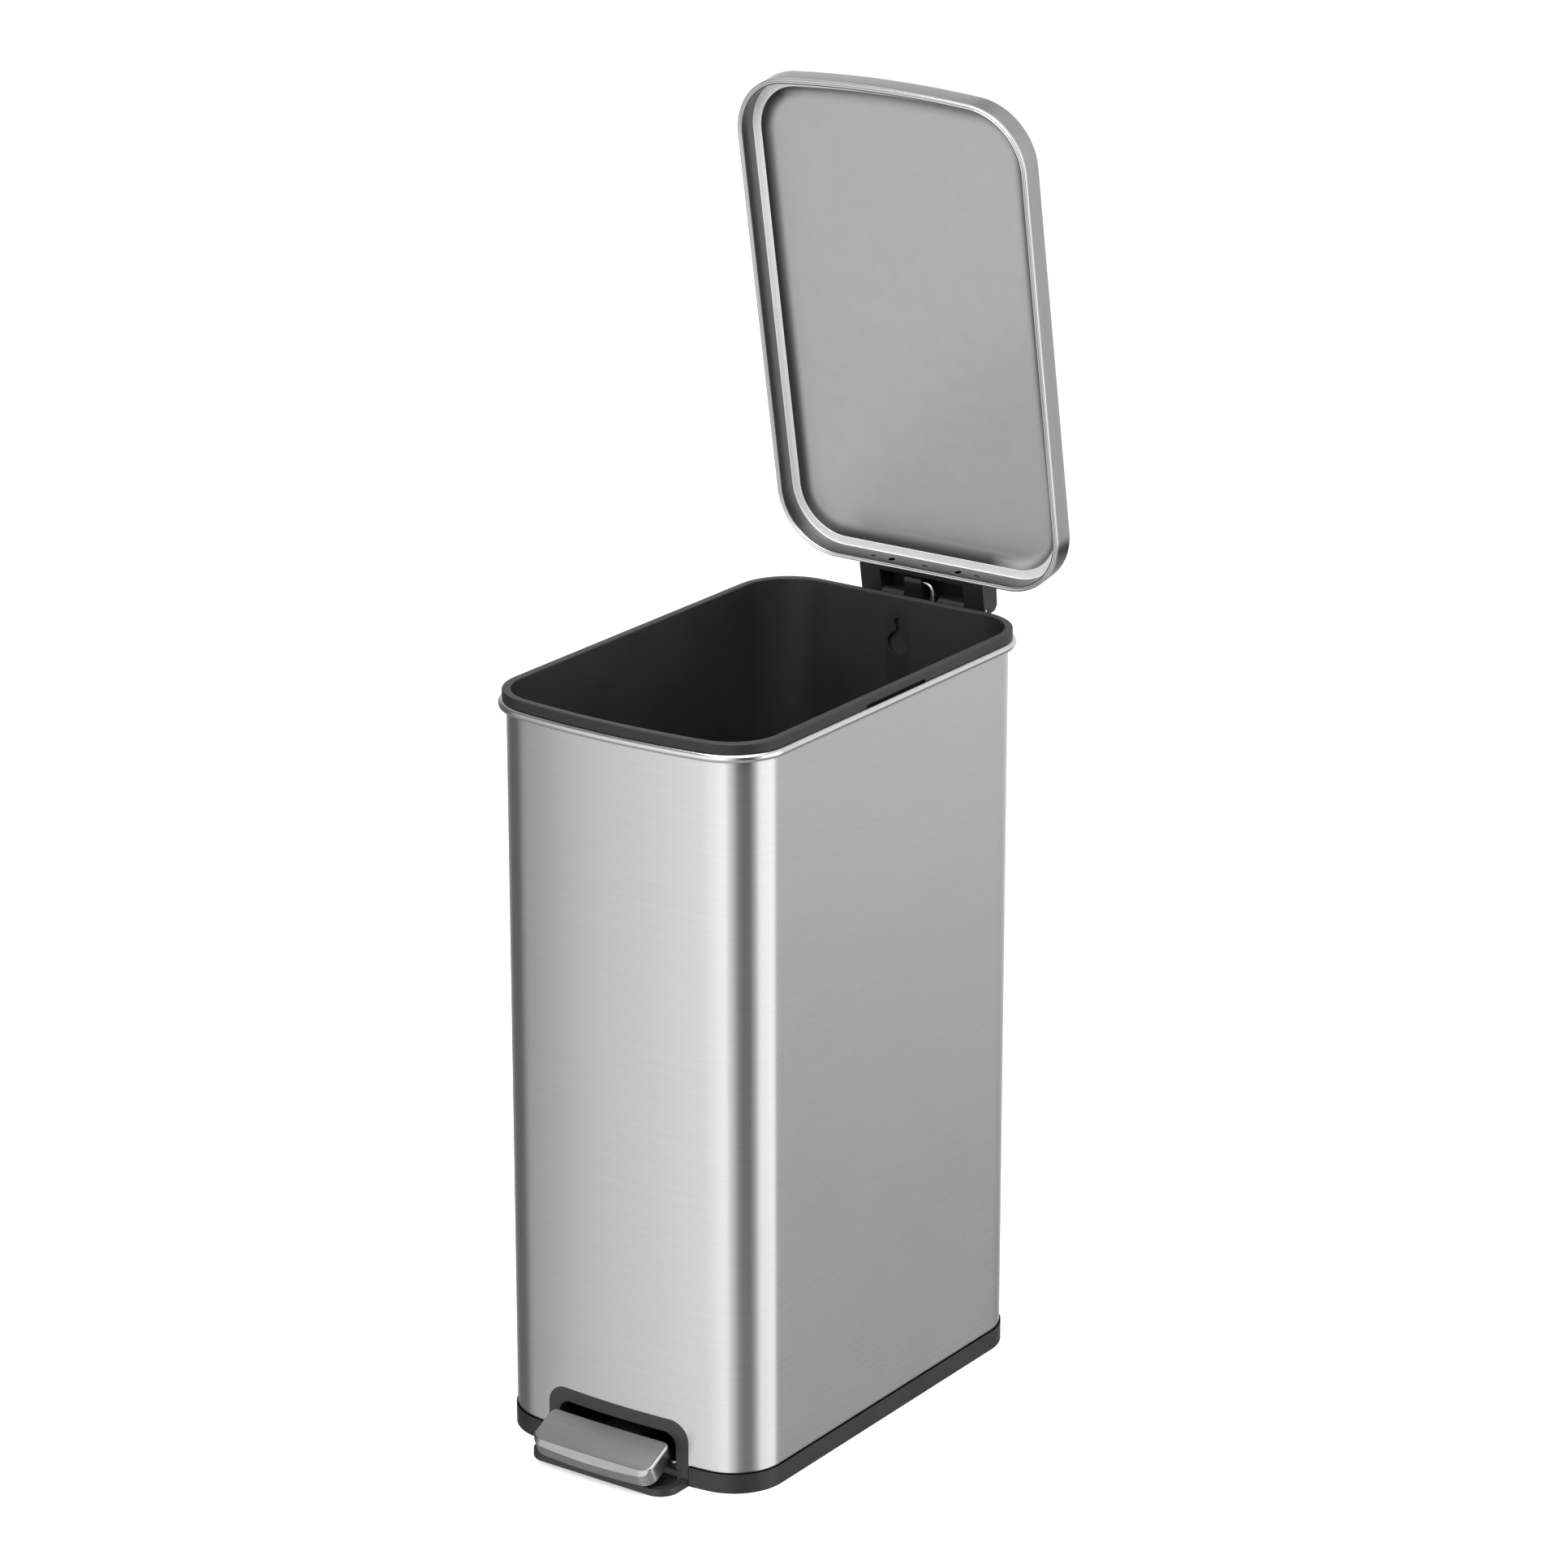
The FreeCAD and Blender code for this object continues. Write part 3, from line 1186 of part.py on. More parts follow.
def pedal_outline(sketch, inset, front, rear, front_bow="pedal_bow"):
    """The pedal seen square to its tread: both long edges bow forwards, and all four corners are round.

    front and rear are where the long edges cross x = 0 before the outline is moved inwards by inset.
    """
    half = f"pedal_half - ({inset})"
    corner_front, corner_rear = f"pedal_front_corner - ({inset})", f"pedal_rear_corner - ({inset})"
    bow_front, bow_rear = f"{front_bow} - ({inset})", f"tread_bow + ({inset})"
    centre_front, centre_rear = f"{front} + {front_bow}", f"{rear} + tread_bow"
    x_side = number(half)
    r_front, r_rear = number(corner_front), number(corner_rear)
    big_front, big_rear = number(bow_front), number(bow_rear)
    y_big_front, y_big_rear = number(centre_front), number(centre_rear)
    x_front, x_rear = x_side - r_front, x_side - r_rear
    y_front = y_big_front - math.sqrt((big_front - r_front) ** 2 - x_front**2)
    y_rear = y_big_rear - math.sqrt((big_rear + r_rear) ** 2 - x_rear**2)
    lean_front = math.atan2(x_front, y_big_front - y_front)
    lean_rear = math.atan2(x_rear, y_big_rear - y_rear)
    down, right, up, left = -math.pi / 2, 0.0, math.pi / 2, math.pi
    sketch.addGeometry([
        arc((0, y_big_front), big_front, down - lean_front, down + lean_front),
        arc((x_front, y_front), r_front, down + lean_front, right),
        Part.LineSegment(Vector(x_side, y_front, 0), Vector(x_side, y_rear, 0)),
        arc((x_rear, y_rear), r_rear, right, up + lean_rear),
        arc((0, y_big_rear), big_rear, down - lean_rear, down + lean_rear),
        arc((-x_rear, y_rear), r_rear, up - lean_rear, left),
        Part.LineSegment(Vector(-x_side, y_rear, 0), Vector(-x_side, y_front, 0)),
        arc((-x_front, y_front), r_front, left, left + up - lean_front),
    ])
    # the rear edge is drawn from left to right, against the way round of the others
    joins = [(0, 2, 1, 1), (1, 2, 2, 1), (2, 2, 3, 1), (3, 2, 4, 2)]
    joins += [(4, 1, 5, 1), (5, 2, 6, 1), (6, 2, 7, 1), (7, 2, 0, 1)]
    for join in joins:
        sketch.addConstraint(Sketcher.Constraint("Tangent", *join))
    for side in (2, 6):
        sketch.addConstraint(Sketcher.Constraint("Vertical", side))
    constrain(sketch, "right", half, "DistanceX", -1, 1, 2, 1)
    constrain(sketch, "left", f"-({half})", "DistanceX", -1, 1, 6, 1)
    for edge, centre, bow in ((0, centre_front, bow_front), (4, centre_rear, bow_rear)):
        sketch.addConstraint(Sketcher.Constraint("PointOnObject", edge, 3, -2))
        constrain(sketch, "bow_centre", centre, "DistanceY", -1, 1, edge, 3)
        constrain(sketch, "bow", bow, "Radius", edge)
    for edge, corner in ((1, corner_front), (7, corner_front), (3, corner_rear), (5, corner_rear)):
        constrain(sketch, "corner", corner, "Radius", edge)


def pedal_block(label, inset, low, rear):
    """The pedal's solid outline with its front edge cut back at 45 degrees, moved inwards by inset."""
    body = new_body(label)
    shift = f"({inset}) * tan(22.5)"
    brow_level = f"-pedal_chamfer - {shift}"
    wall = new_sketch(body, "wall", "XY_Plane", low)
    pedal_outline(wall, inset, "-pedal_chamfer", rear)
    pad(body, wall, f"{brow_level} - ({low})")
    brow = new_sketch(body, "brow", "XY_Plane", brow_level)
    pedal_outline(brow, inset, "-pedal_chamfer", rear)
    tread = new_sketch(body, "tread", "XY_Plane", f"-({inset})")
    pedal_outline(tread, inset, f"{shift} - ({inset})", rear, "tread_bow")
    slope = body.newObject("PartDesign::AdditiveLoft", f"{label}_slope")
    slope.Profile = brow
    slope.Sections = [tread]
    slope.Ruled = True
    doc.recompute()
    return body


def cut_lever_notch(body):
    """An opening in the rear wall, from below, for the lever's channel."""
    notch = new_sketch(body, "lever_notch", "XY_Plane", "-pedal_deep - core_below - 1")
    half = "lever_half + lever_room"
    rectangle(notch, f"-({half})", half, "core_pocket_rear", "pedal_rear + 10")
    pocket(body, notch, f"pedal_deep + core_below + 1 + ({TONGUE_LEVEL}) + lever_room")


# the lever's tongue under the tread: how far its upper face is above the crease, square to the tread
TONGUE_LEVEL = "(lever_top - crease_z) * cos(pedal_tilt) - (lever_front_y - crease_y) * sin(pedal_tilt)"


def make_pedal_core():
    """Plastic core under the steel cap, hollow from below and solid over the lever's tongue."""
    low = "-pedal_deep - core_below"
    rear = "pedal_rear - core_rear_gap"
    body = pedal_block("pedal_core", "cap_sheet", low, rear)
    hollow = new_sketch(body, "hollow", "XY_Plane", f"{low} - 1")
    pedal_outline(hollow, "cap_sheet + core_wall", "-pedal_chamfer", rear)
    pocket(body, hollow, f"{TONGUE_LEVEL} - ({low}) + 1 + running_gap")
    pockets = new_sketch(body, "side_pockets", "XY_Plane", TONGUE_LEVEL)
    ends = "core_pocket_front", "core_pocket_rear"
    mirrored_rectangles(pockets, "core_pocket_inner", "core_pocket_outer", *ends)
    pocket(body, pockets, f"-cap_sheet - core_wall - ({TONGUE_LEVEL})")
    cut_lever_notch(body)
    return body


def make_pedal_cap():
    """Steel cap folded over the top and all four sides of the core."""
    outer = pedal_block("cap_outside", "0", "-pedal_deep", "pedal_rear")
    cut_lever_notch(outer)
    inner = pedal_block("cap_inside", "cap_sheet", "-pedal_deep - 1", "pedal_rear")
    return cut("pedal_cap", outer, inner)


def make_pedal_rivets():
    """Two rivets through the lever's tongue into the core."""
    seats = [(f"{side} * rivet_x", "rivet_y") for side in (-1, 1)]
    solids = [
        cylinder(f"pedal_rivet_{i}", "Z", seat, "rivet_bottom", "rivet_length", "rivet_radius")
        for i, seat in enumerate(seats)
    ]
    return fuse("pedal_rivets", solids)


# ---------------------------------------------------------------- assembly, checks and export

FIXED_MAKERS = [
    make_body_shell,
    make_rim_bead,
    make_liner_bucket,
    make_base_tray,
    make_foot_pads,
    make_pedal_surround,
    make_surround_screws,
    make_hinge_housing,
    make_housing_screws,
    make_hinge_pins,
    make_rod_cover,
    make_cover_screws,
    make_rod_guide,
    make_lever_axle,
    make_axle_clips,
    make_pedal_lever,
    make_lever_bushes,
]
LID_MAKERS = [make_lid_shell, make_lid_inner_pan, make_hinge_bracket, make_bracket_screws]
ROD_MAKERS = [make_lift_rod, make_rod_clip]
PEDAL_MAKERS = [make_pedal_core, make_pedal_cap, make_pedal_rivets]


def open_lid_placement():
    """The closed lid turned up about the hinge line."""
    turn = FreeCAD.Rotation(Vector(1, 0, 0), -number("open_angle"))
    return FreeCAD.Placement(Vector(), turn, Vector(0, number("hinge_y"), number("hinge_z")))


def rod_placement():
    """The upright rod set on its foot and leaned back to reach the lug."""
    lean = math.degrees(math.atan2(number("hook_open_y - rod_foot_y"), number("hook_open_z - rod_foot_z")))
    foot = Vector(0, number("rod_foot_y"), number("rod_foot_z"))
    return FreeCAD.Placement(foot, FreeCAD.Rotation(Vector(1, 0, 0), -lean))


def pedal_placement():
    """The level pedal set with its crease in front of the can and tilted down to the front."""
    turn = FreeCAD.Rotation(Vector(1, 0, 0), number("pedal_tilt"))
    return FreeCAD.Placement(Vector(0, number("crease_y"), number("crease_z")), turn)


def build_everything():
    nodes = [make() for make in FIXED_MAKERS]
    placed = [
        (LID_MAKERS, open_lid_placement()),
        (ROD_MAKERS, rod_placement()),
        (PEDAL_MAKERS, pedal_placement()),
    ]
    for makers, placement in placed:
        for make in makers:
            node = make()
            node.Placement = placement
            nodes.append(node)
    doc.recompute()
    return nodes


def check(nodes):
    """Stops unless every object recomputed and every node is one valid shape of its own."""
    for thing in doc.Objects:
        if {"Invalid", "Error"} & set(thing.State):
            raise RuntimeError(f"{thing.Label} did not recompute: {thing.State}")
    for node in nodes:
        shape = node.Shape
        if shape.isNull() or not shape.isValid() or not shape.Solids:
            raise RuntimeError(f"{node.Label} has no valid solid")
        print(f"{node.Label}: {len(shape.Solids)} solid(s), {shape.Volume / 1000:.1f} cm3")


def export(nodes):
    os.makedirs("parts", exist_ok=True)
    for node in nodes:
        node.Shape.exportStep(f"parts/{node.Label}.step")


fill_sheet()
parts = build_everything()
check(parts)
export(parts)
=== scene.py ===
import json
import math

import bmesh
import bpy
from mathutils import Matrix, Vector


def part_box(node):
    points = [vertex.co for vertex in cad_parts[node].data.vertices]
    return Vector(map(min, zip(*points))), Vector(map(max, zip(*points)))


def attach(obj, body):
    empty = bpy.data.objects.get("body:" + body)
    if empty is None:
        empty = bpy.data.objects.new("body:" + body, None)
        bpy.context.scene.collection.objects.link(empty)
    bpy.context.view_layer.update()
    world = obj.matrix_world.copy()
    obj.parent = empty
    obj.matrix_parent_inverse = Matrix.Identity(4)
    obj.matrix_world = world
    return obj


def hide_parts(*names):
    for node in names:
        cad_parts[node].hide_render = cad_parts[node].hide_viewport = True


# Looks of the pedal trash can. Metres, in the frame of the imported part: origin on the floor under the
# middle of the sleeve, +Z up, -Y towards the pedal, +X to the right of somebody who faces the pedal.

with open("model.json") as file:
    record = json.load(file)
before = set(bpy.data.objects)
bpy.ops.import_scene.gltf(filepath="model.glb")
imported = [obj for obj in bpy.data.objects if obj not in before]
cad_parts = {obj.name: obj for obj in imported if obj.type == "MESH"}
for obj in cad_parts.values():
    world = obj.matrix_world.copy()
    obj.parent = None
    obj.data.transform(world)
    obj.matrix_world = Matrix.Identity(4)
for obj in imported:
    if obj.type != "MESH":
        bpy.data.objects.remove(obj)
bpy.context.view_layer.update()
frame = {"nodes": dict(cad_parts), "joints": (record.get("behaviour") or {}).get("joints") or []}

# ---------------------------------------------------------------- sizes

SHELL_LOW, SHELL_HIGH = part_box("body_shell")
BEAD_LOW, BEAD_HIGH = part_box("rim_bead")
BUCKET_LOW, BUCKET_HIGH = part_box("liner_bucket")
SURROUND_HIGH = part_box("pedal_surround")[1]
LID_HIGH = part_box("lid_shell")[1]

# the sleeve's outline: a rounded rectangle whose front side is a long arc
CAN_HALF_WIDTH = SHELL_HIGH.x
CAN_HALF_DEPTH = SHELL_HIGH.y
CAN_CORNER = 0.046
CAN_BOW = 0.6876
SHELL_WALL = 0.0006
BEAD_PROUD = BEAD_HIGH.x - SHELL_HIGH.x
RIM_TOP = BUCKET_HIGH.z
RIM_OUTSIDE = BUCKET_HIGH.x - SHELL_HIGH.x
RIM_INSIDE = 0.00376
SKIRT_WALL = 0.0014
SEAT_GAP = 0.0004
SKIRT_BOTTOM = 0.6418
BUCKET_WALL = 0.0017
BUCKET_FLOOR = 0.0022
BUCKET_DRAFT = 0.011
NOTCH_FRONT, NOTCH_REAR, NOTCH_TOP = -0.0407, 0.0453, 0.6442
NOTCH_SLOPE = 0.0012
KEYHOLE_BIG, KEYHOLE_BIG_Z = 0.0104, 0.609
KEYHOLE_SMALL, KEYHOLE_SMALL_Z, KEYHOLE_NECK = 0.0036, 0.628, 0.0044

# the openings in the sleeve: the pedal's in front, the lever's tail behind (left, right, low, high)
FRAME_HALF, FRAME_TOP, FRAME_CORNER = 0.0715, SURROUND_HIGH.z, 0.018
TAIL_CUT = (-0.010, 0.008, 0.022, 0.066)

# the lid, drawn closed and turned up about the hinge
LID_HALF_WIDTH = LID_HIGH.x
LID_HALF_DEPTH = 0.2206
LID_CORNER = 0.0556
LID_BOW = 1.110
LID_HEM, LID_TOP, LID_EDGE, LID_SKIN = 0.634, 0.658, 0.005, 0.0006
HEM_ROLL, HEM_FOLD = 0.0013, 0.0009
PAN_INSET, PAN_SHEET = 0.0042, 0.0005
LEDGE_INNER, LEDGE_Z = 0.0123, 0.6507
PANEL_INNER, PANEL_Z = 0.027, 0.6555
HOLE_X, HOLE_Z, HOLE_RADIUS = 0.034, 0.6415, 0.0029
SLOT_X, SLOT_HALF, SLOT_HALF_HIGH = 0.053, 0.003, 0.0009

HINGE = next(joint for joint in frame["joints"] if joint["name"] == "lid_hinge")
HINGE_PLACE = Vector(HINGE["pos_m"])
OPEN_ANGLE = math.radians(max(HINGE["range_deg"]))
LID_OPEN = (
    Matrix.Translation(HINGE_PLACE)
    @ Matrix.Rotation(-OPEN_ANGLE, 4, "X")
    @ Matrix.Translation(-HINGE_PLACE)
)

# the pedal, drawn level with its origin on the front crease and tilted down to the front
PEDAL_TILT = math.radians(25.86)
PEDAL_OPEN = Matrix.Translation((0, -0.2456, 0.0244)) @ Matrix.Rotation(PEDAL_TILT, 4, "X")
PEDAL_HALF = 0.0605
PEDAL_BOW, TREAD_BOW = 0.690, 2.5
PEDAL_REAR = 0.0345
PEDAL_CHAMFER = 0.0052
PEDAL_DEEP = 0.0153
PEDAL_TRIM = 0.0011
PEDAL_FRONT_CORNER, PEDAL_REAR_CORNER = 0.011, 0.006
CAP_SHEET = 0.001
CORE_BELOW = 0.0012

# ---------------------------------------------------------------- outlines


def round_part(centre, radius, start, end, steps):
    """Stations (x, y, outward x, outward y) round an arc; the angles go counter-clockwise from -Y."""
    for step in range(steps):
        angle = start + (end - start) * step / steps
        out_x, out_y = math.sin(angle), -math.cos(angle)
        yield centre[0] + radius * out_x, centre[1] + radius * out_y, out_x, out_y


def straight_part(start, end, stops=()):
    """Places along a straight side, with the stops among them."""
    steps = 12
    places = {start + (end - start) * step / steps for step in range(steps)}
    places |= {stop for stop in stops if min(start, end) < stop < max(start, end)}
    return sorted(places, reverse=end < start)


def bowed_outline(half_width, half_depth, corner, bow, stops=()):
    """Stations round a bow-fronted rounded rectangle, counter-clockwise from the front's left end.

    The stops are extra places along the sides' y where a station has to stand.
    """
    y_arc = bow - half_depth
    x_corner = half_width - corner
    y_rear = half_depth - corner
    y_front = y_arc - math.sqrt((bow - corner) ** 2 - x_corner**2)
    lean = math.atan2(x_corner, y_arc - y_front)
    quarter = math.pi / 2

    stations = list(round_part((0, y_arc), bow, -lean, lean, 56))
    stations += round_part((x_corner, y_front), corner, lean, quarter, 24)
    stations += [(half_width, y, 1, 0) for y in straight_part(y_front, y_rear, stops)]
    stations += round_part((x_corner, y_rear), corner, quarter, 2 * quarter, 24)
    stations += [(x, half_depth, 0, 1) for x in straight_part(x_corner, -x_corner)]
    stations += round_part((-x_corner, y_rear), corner, 2 * quarter, 3 * quarter, 24)
    stations += [(-half_width, y, -1, 0) for y in straight_part(y_rear, y_front, stops)]
    stations += round_part((-x_corner, y_front), corner, 3 * quarter, 4 * quarter - lean, 24)
    return stations


def can_outline(stops=()):
    return bowed_outline(CAN_HALF_WIDTH, CAN_HALF_DEPTH, CAN_CORNER, CAN_BOW, stops)


def lid_outline():
    return bowed_outline(LID_HALF_WIDTH, LID_HALF_DEPTH, LID_CORNER, LID_BOW)


def bend(offset, height, radius, start, end, steps=6):
    """Section points (offset, height) round an arc; the angles are in degrees."""
    for step in range(steps + 1):
        angle = math.radians(start + (end - start) * step / steps)
        yield offset + radius * math.cos(angle), height + radius * math.sin(angle)


# ---------------------------------------------------------------- mesh helpers


def finished(name, bm, smooth_below=35.0):
    """A new object from the bmesh, smooth but for edges sharper than smooth_below degrees."""
    bmesh.ops.recalc_face_normals(bm, faces=bm.faces)
    mesh = bpy.data.meshes.new(name)
    bm.to_mesh(mesh)
    bm.free()
    mesh.shade_smooth()
    mesh.set_sharp_from_angle(angle=math.radians(smooth_below))
    made = bpy.data.objects.new(name, mesh)
    bpy.context.scene.collection.objects.link(made)
    return made


def sweep(bm, stations, section, close_section=True):
    """Carries a section of (offset, height) points round the stations, and caps an open section's ends.

    An offset or height may be a function of the station.
    """

    def value(thing, station):
        return thing(station) if callable(thing) else thing

    rings = []
    for offset, height in section:
        ring = []
        for station in stations:
            x, y, out_x, out_y = station
            move = value(offset, station)
            ring.append(bm.verts.new((x + out_x * move, y + out_y * move, value(height, station))))
        rings.append(ring)
    count, turns = len(stations), len(rings)
    for j in range(turns if close_section else turns - 1):
        low, high = rings[j], rings[(j + 1) % turns]
        for i in range(count):
            following = (i + 1) % count
            bm.faces.new((low[i], low[following], high[following], high[i]))
    if not close_section:
        bm.faces.new(rings[0])
        bm.faces.new(rings[-1])


def prism(bm, corners, axis, start, end):
    """A closed prism: corners lie across the axis, and it runs from start to end along it."""
    places = {"x": lambda a, b, t: (t, a, b), "y": lambda a, b, t: (a, t, b), "z": lambda a, b, t: (a, b, t)}
    place = places[axis]
    near = [bm.verts.new(place(a, b, start)) for a, b in corners]
    far = [bm.verts.new(place(a, b, end)) for a, b in corners]
    count = len(corners)
    for i in range(count):
        following = (i + 1) % count
        bm.faces.new((near[i], near[following], far[following], far[i]))
    bm.faces.new(near)
    bm.faces.new(far)


def prism_object(name, corners, axis, start, end):
    bm = bmesh.new()
    prism(bm, corners, axis, start, end)
    return finished(name, bm)


def carve(target, tool):
    """Cuts the tool out of the target's mesh, and removes the tool."""
    change = target.modifiers.new("carve", "BOOLEAN")
    change.operation = "DIFFERENCE"
    change.solver = "EXACT"
    change.object = tool
    graph = bpy.context.evaluated_depsgraph_get()
    mesh = bpy.data.meshes.new_from_object(target.evaluated_get(graph))
    target.modifiers.clear()
    target.data = mesh
    mesh.shade_smooth()
    mesh.set_sharp_from_angle(angle=math.radians(35))
    bpy.data.objects.remove(tool)


def soften(target, width):
    """Rounds the piece's edges and keeps its flat faces flat to the light."""
    bevel = target.modifiers.new("bevel", "BEVEL")
    bevel.width = width
    bevel.segments = 3
    bevel.limit_method = "ANGLE"
    bevel.angle_limit = math.radians(40)
    bevel.use_clamp_overlap = True
    normals = target.modifiers.new("normals", "WEIGHTED_NORMAL")
    normals.keep_sharp = False


def round_topped(half, low, high, corner):
    """Corners of an upright rectangle with rounded upper corners, centred on 0."""
    points = [(-half, low), (half, low)]
    points += bend(half - corner, high - corner, corner, 0, 90, 12)
    points += bend(-half + corner, high - corner, corner, 90, 180, 12)
    return points


# ---------------------------------------------------------------- node helpers


class Nodes:
    """A material's node tree, with short calls for the few kinds of node used here."""

    def __init__(self, name, placed=Matrix.Identity(4)):
        self.material = bpy.data.materials.new(name)
        self.material.use_nodes = True
        self.tree = self.material.node_tree
        self.shader = self.tree.nodes["Principled BSDF"]
        place = self.tree.nodes.new("ShaderNodeTexCoord")
        drawn = self.tree.nodes.new("ShaderNodeMapping")
        back = placed.inverted()
        drawn.inputs["Location"].default_value = back.translation
        drawn.inputs["Rotation"].default_value = back.to_euler()
        self.link(place.outputs["Object"], drawn.inputs["Vector"])
        self.place = drawn.outputs["Vector"]

    def link(self, source, target):
        self.tree.links.new(source, target)

    def stretched(self, scale):
        """The object's own coordinates, scaled apart along x, y and z."""
        mapping = self.tree.nodes.new("ShaderNodeMapping")
        mapping.inputs["Scale"].default_value = scale
        self.link(self.place, mapping.inputs["Vector"])
        return mapping.outputs["Vector"]

    def noise(self, where, scale=1.0, detail=3.0, roughness=0.55):
        noise = self.tree.nodes.new("ShaderNodeTexNoise")
        noise.inputs["Scale"].default_value = scale
        noise.inputs["Detail"].default_value = detail
        noise.inputs["Roughness"].default_value = roughness
        self.link(where, noise.inputs["Vector"])
        return noise.outputs["Fac"]

    def spread(self, source, low, high, start=0.3, end=0.7):
        """The source's values from start to end, carried to the range from low to high."""
        spread = self.tree.nodes.new("ShaderNodeMapRange")
        spread.inputs["From Min"].default_value = start
        spread.inputs["From Max"].default_value = end
        spread.inputs["To Min"].default_value = low
        spread.inputs["To Max"].default_value = high
        self.link(source, spread.inputs["Value"])
        return spread.outputs["Result"]

    def sum(self, first, second, how="ADD"):
        total = self.tree.nodes.new("ShaderNodeMath")
        total.operation = how
        self.link(first, total.inputs[0])
        self.link(second, total.inputs[1])
        return total.outputs["Value"]

    def tint(self, factor, dark, light):
        ramp = self.tree.nodes.new("ShaderNodeValToRGB")
        ramp.color_ramp.elements[0].color = (*dark, 1)
        ramp.color_ramp.elements[1].color = (*light, 1)
        self.link(factor, ramp.inputs["Fac"])
        return ramp.outputs["Color"]

    def split_place(self):
        """The place in the piece as it is drawn, as separate x, y and z."""
        split = self.tree.nodes.new("ShaderNodeSeparateXYZ")
        self.link(self.place, split.inputs["Vector"])
        return split.outputs["X"], split.outputs["Y"], split.outputs["Z"]

    def carry_over(self, factor, colour, level):
        """Carries the colour over to a plain grey level as the factor rises."""
        blend = self.tree.nodes.new("ShaderNodeMix")
        blend.data_type = "RGBA"
        self.link(factor, blend.inputs["Factor"])
        self.link(colour, blend.inputs["A"])
        blend.inputs["B"].default_value = (*grey(level), 1)
        return blend.outputs["Result"]

    def bump(self, height, distance, strength):
        bump = self.tree.nodes.new("ShaderNodeBump")
        bump.inputs["Distance"].default_value = distance
        bump.inputs["Strength"].default_value = strength
        self.link(height, bump.inputs["Height"])
        return bump.outputs["Normal"]

    def set(self, **values):
        for name, value in values.items():
            self.shader.inputs[name.replace("_", " ").title().replace("Ior", "IOR")].default_value = value


def grey(value):
    return value, value, value


def fill_ramp(ramp, stops):
    """Gives a colour ramp its grey stops, a list of (position, level) in rising order."""
    elements = ramp.color_ramp.elements
    elements.remove(elements[1])
    elements[0].position = stops[0][0]
    elements[0].color = (*grey(stops[0][1]), 1)
    for position, level in stops[1:]:
        elements.new(position).color = (*grey(level), 1)


# ---------------------------------------------------------------- materials


POLISHED_LEVEL = 0.72


def brushed_steel(
    name,
    grain,
    level=0.62,
    rough=0.28,
    stretch=0.75,
    streak=0.12,
    turn="Z",
    placed=Matrix.Identity(4),
    polished_below=None,
):
    """Satin steel brushed in one direction, its shine drawn out across the brushing.

    grain is how fine the noise is along x, y and z, so the brushing runs where it is smallest. The
    steel is given a polish under the height polished_below, in the piece as it is drawn.
    """
    nodes = Nodes(name, placed)
    fine = nodes.noise(nodes.stretched(grain), detail=4.0, roughness=0.7)
    coarse = nodes.noise(nodes.stretched(tuple(size * 0.23 for size in grain)), detail=3.0)
    handled = nodes.noise(nodes.stretched((7, 7, 5)), detail=2.0)
    lines = nodes.sum(
        nodes.spread(fine, -streak, streak, 0.4, 0.6), nodes.spread(coarse, -streak, streak, 0.4, 0.6)
    )
    tone = nodes.sum(lines, nodes.spread(handled, 0.485, 0.515))
    colour = nodes.tint(tone, grey(level * 0.8), grey(level * 1.2))
    if polished_below is not None:
        _, _, height = nodes.split_place()
        below = nodes.spread(height, 1, 0, polished_below, polished_below + 0.0004)
        colour = nodes.carry_over(below, colour, POLISHED_LEVEL)
    nodes.link(colour, nodes.shader.inputs["Base Color"])
    wear = nodes.sum(nodes.spread(fine, -0.01, 0.01), nodes.spread(handled, rough - 0.004, rough + 0.008))
    nodes.link(wear, nodes.shader.inputs["Roughness"])
    nodes.link(nodes.bump(fine, 0.00001, 0.012), nodes.shader.inputs["Normal"])
    nodes.set(metallic=1.0, anisotropic=stretch, anisotropic_rotation=0.25)
    tangent = nodes.tree.nodes.new("ShaderNodeTangent")
    tangent.direction_type = "RADIAL"
    tangent.axis = turn
    nodes.link(tangent.outputs["Tangent"], nodes.shader.inputs["Tangent"])
    return nodes.material


def satin_steel(name, level, rough):
    """Pressed steel sheet with a fine even finish."""
    nodes = Nodes(name)
    fine = nodes.noise(nodes.stretched((900, 900, 900)), detail=3.0)
    cloud = nodes.noise(nodes.stretched((6, 6, 6)), detail=3.0)
    tone = nodes.sum(nodes.spread(fine, -0.04, 0.04), nodes.spread(cloud, 0.44, 0.56))
    nodes.link(nodes.tint(tone, grey(level * 0.9), grey(level * 1.1)), nodes.shader.inputs["Base Color"])
    wear = nodes.sum(nodes.spread(fine, -0.02, 0.02), nodes.spread(cloud, rough - 0.03, rough + 0.03))
    nodes.link(wear, nodes.shader.inputs["Roughness"])
    nodes.link(nodes.bump(fine, 0.00002, 0.25), nodes.shader.inputs["Normal"])
    nodes.set(metallic=1.0)
    return nodes.material


# painted light on the drawn pan's steel, by height in the closed lid: painted shade on the wall, a painted
# highlight on the ledge, painted shade in the bend, then the panel
PAN_PAINTED_LIGHT = (
    (0.6360, 0.14),
    (0.6500, 0.22),
    (0.6503, 0.98),
    (0.6509, 0.98),
    (0.6511, 0.05),
    (0.6535, 0.07),
    (0.6545, 0.13),
    (0.6550, 0.23),
    (0.6553, 0.37),
    (0.65545, 0.50),
    (0.6555, 0.57),
)
# the ledge's painted highlight lies between these heights
LEDGE_HIGHLIGHT_LOW, LEDGE_HIGHLIGHT_HIGH = PAN_PAINTED_LIGHT[1:3], PAN_PAINTED_LIGHT[3:5]
LEDGE_HIGHLIGHT_MATT = 0.8
# where the painted shade is left off and the steel keeps the panel's tone, each as a mask's start and end:
# the front left corner and the right
UNSHADED_LEFT, UNSHADED_FRONT, UNSHADED_RIGHT = (-0.108, -0.085), (-0.170, -0.120), (0.060, 0.100)


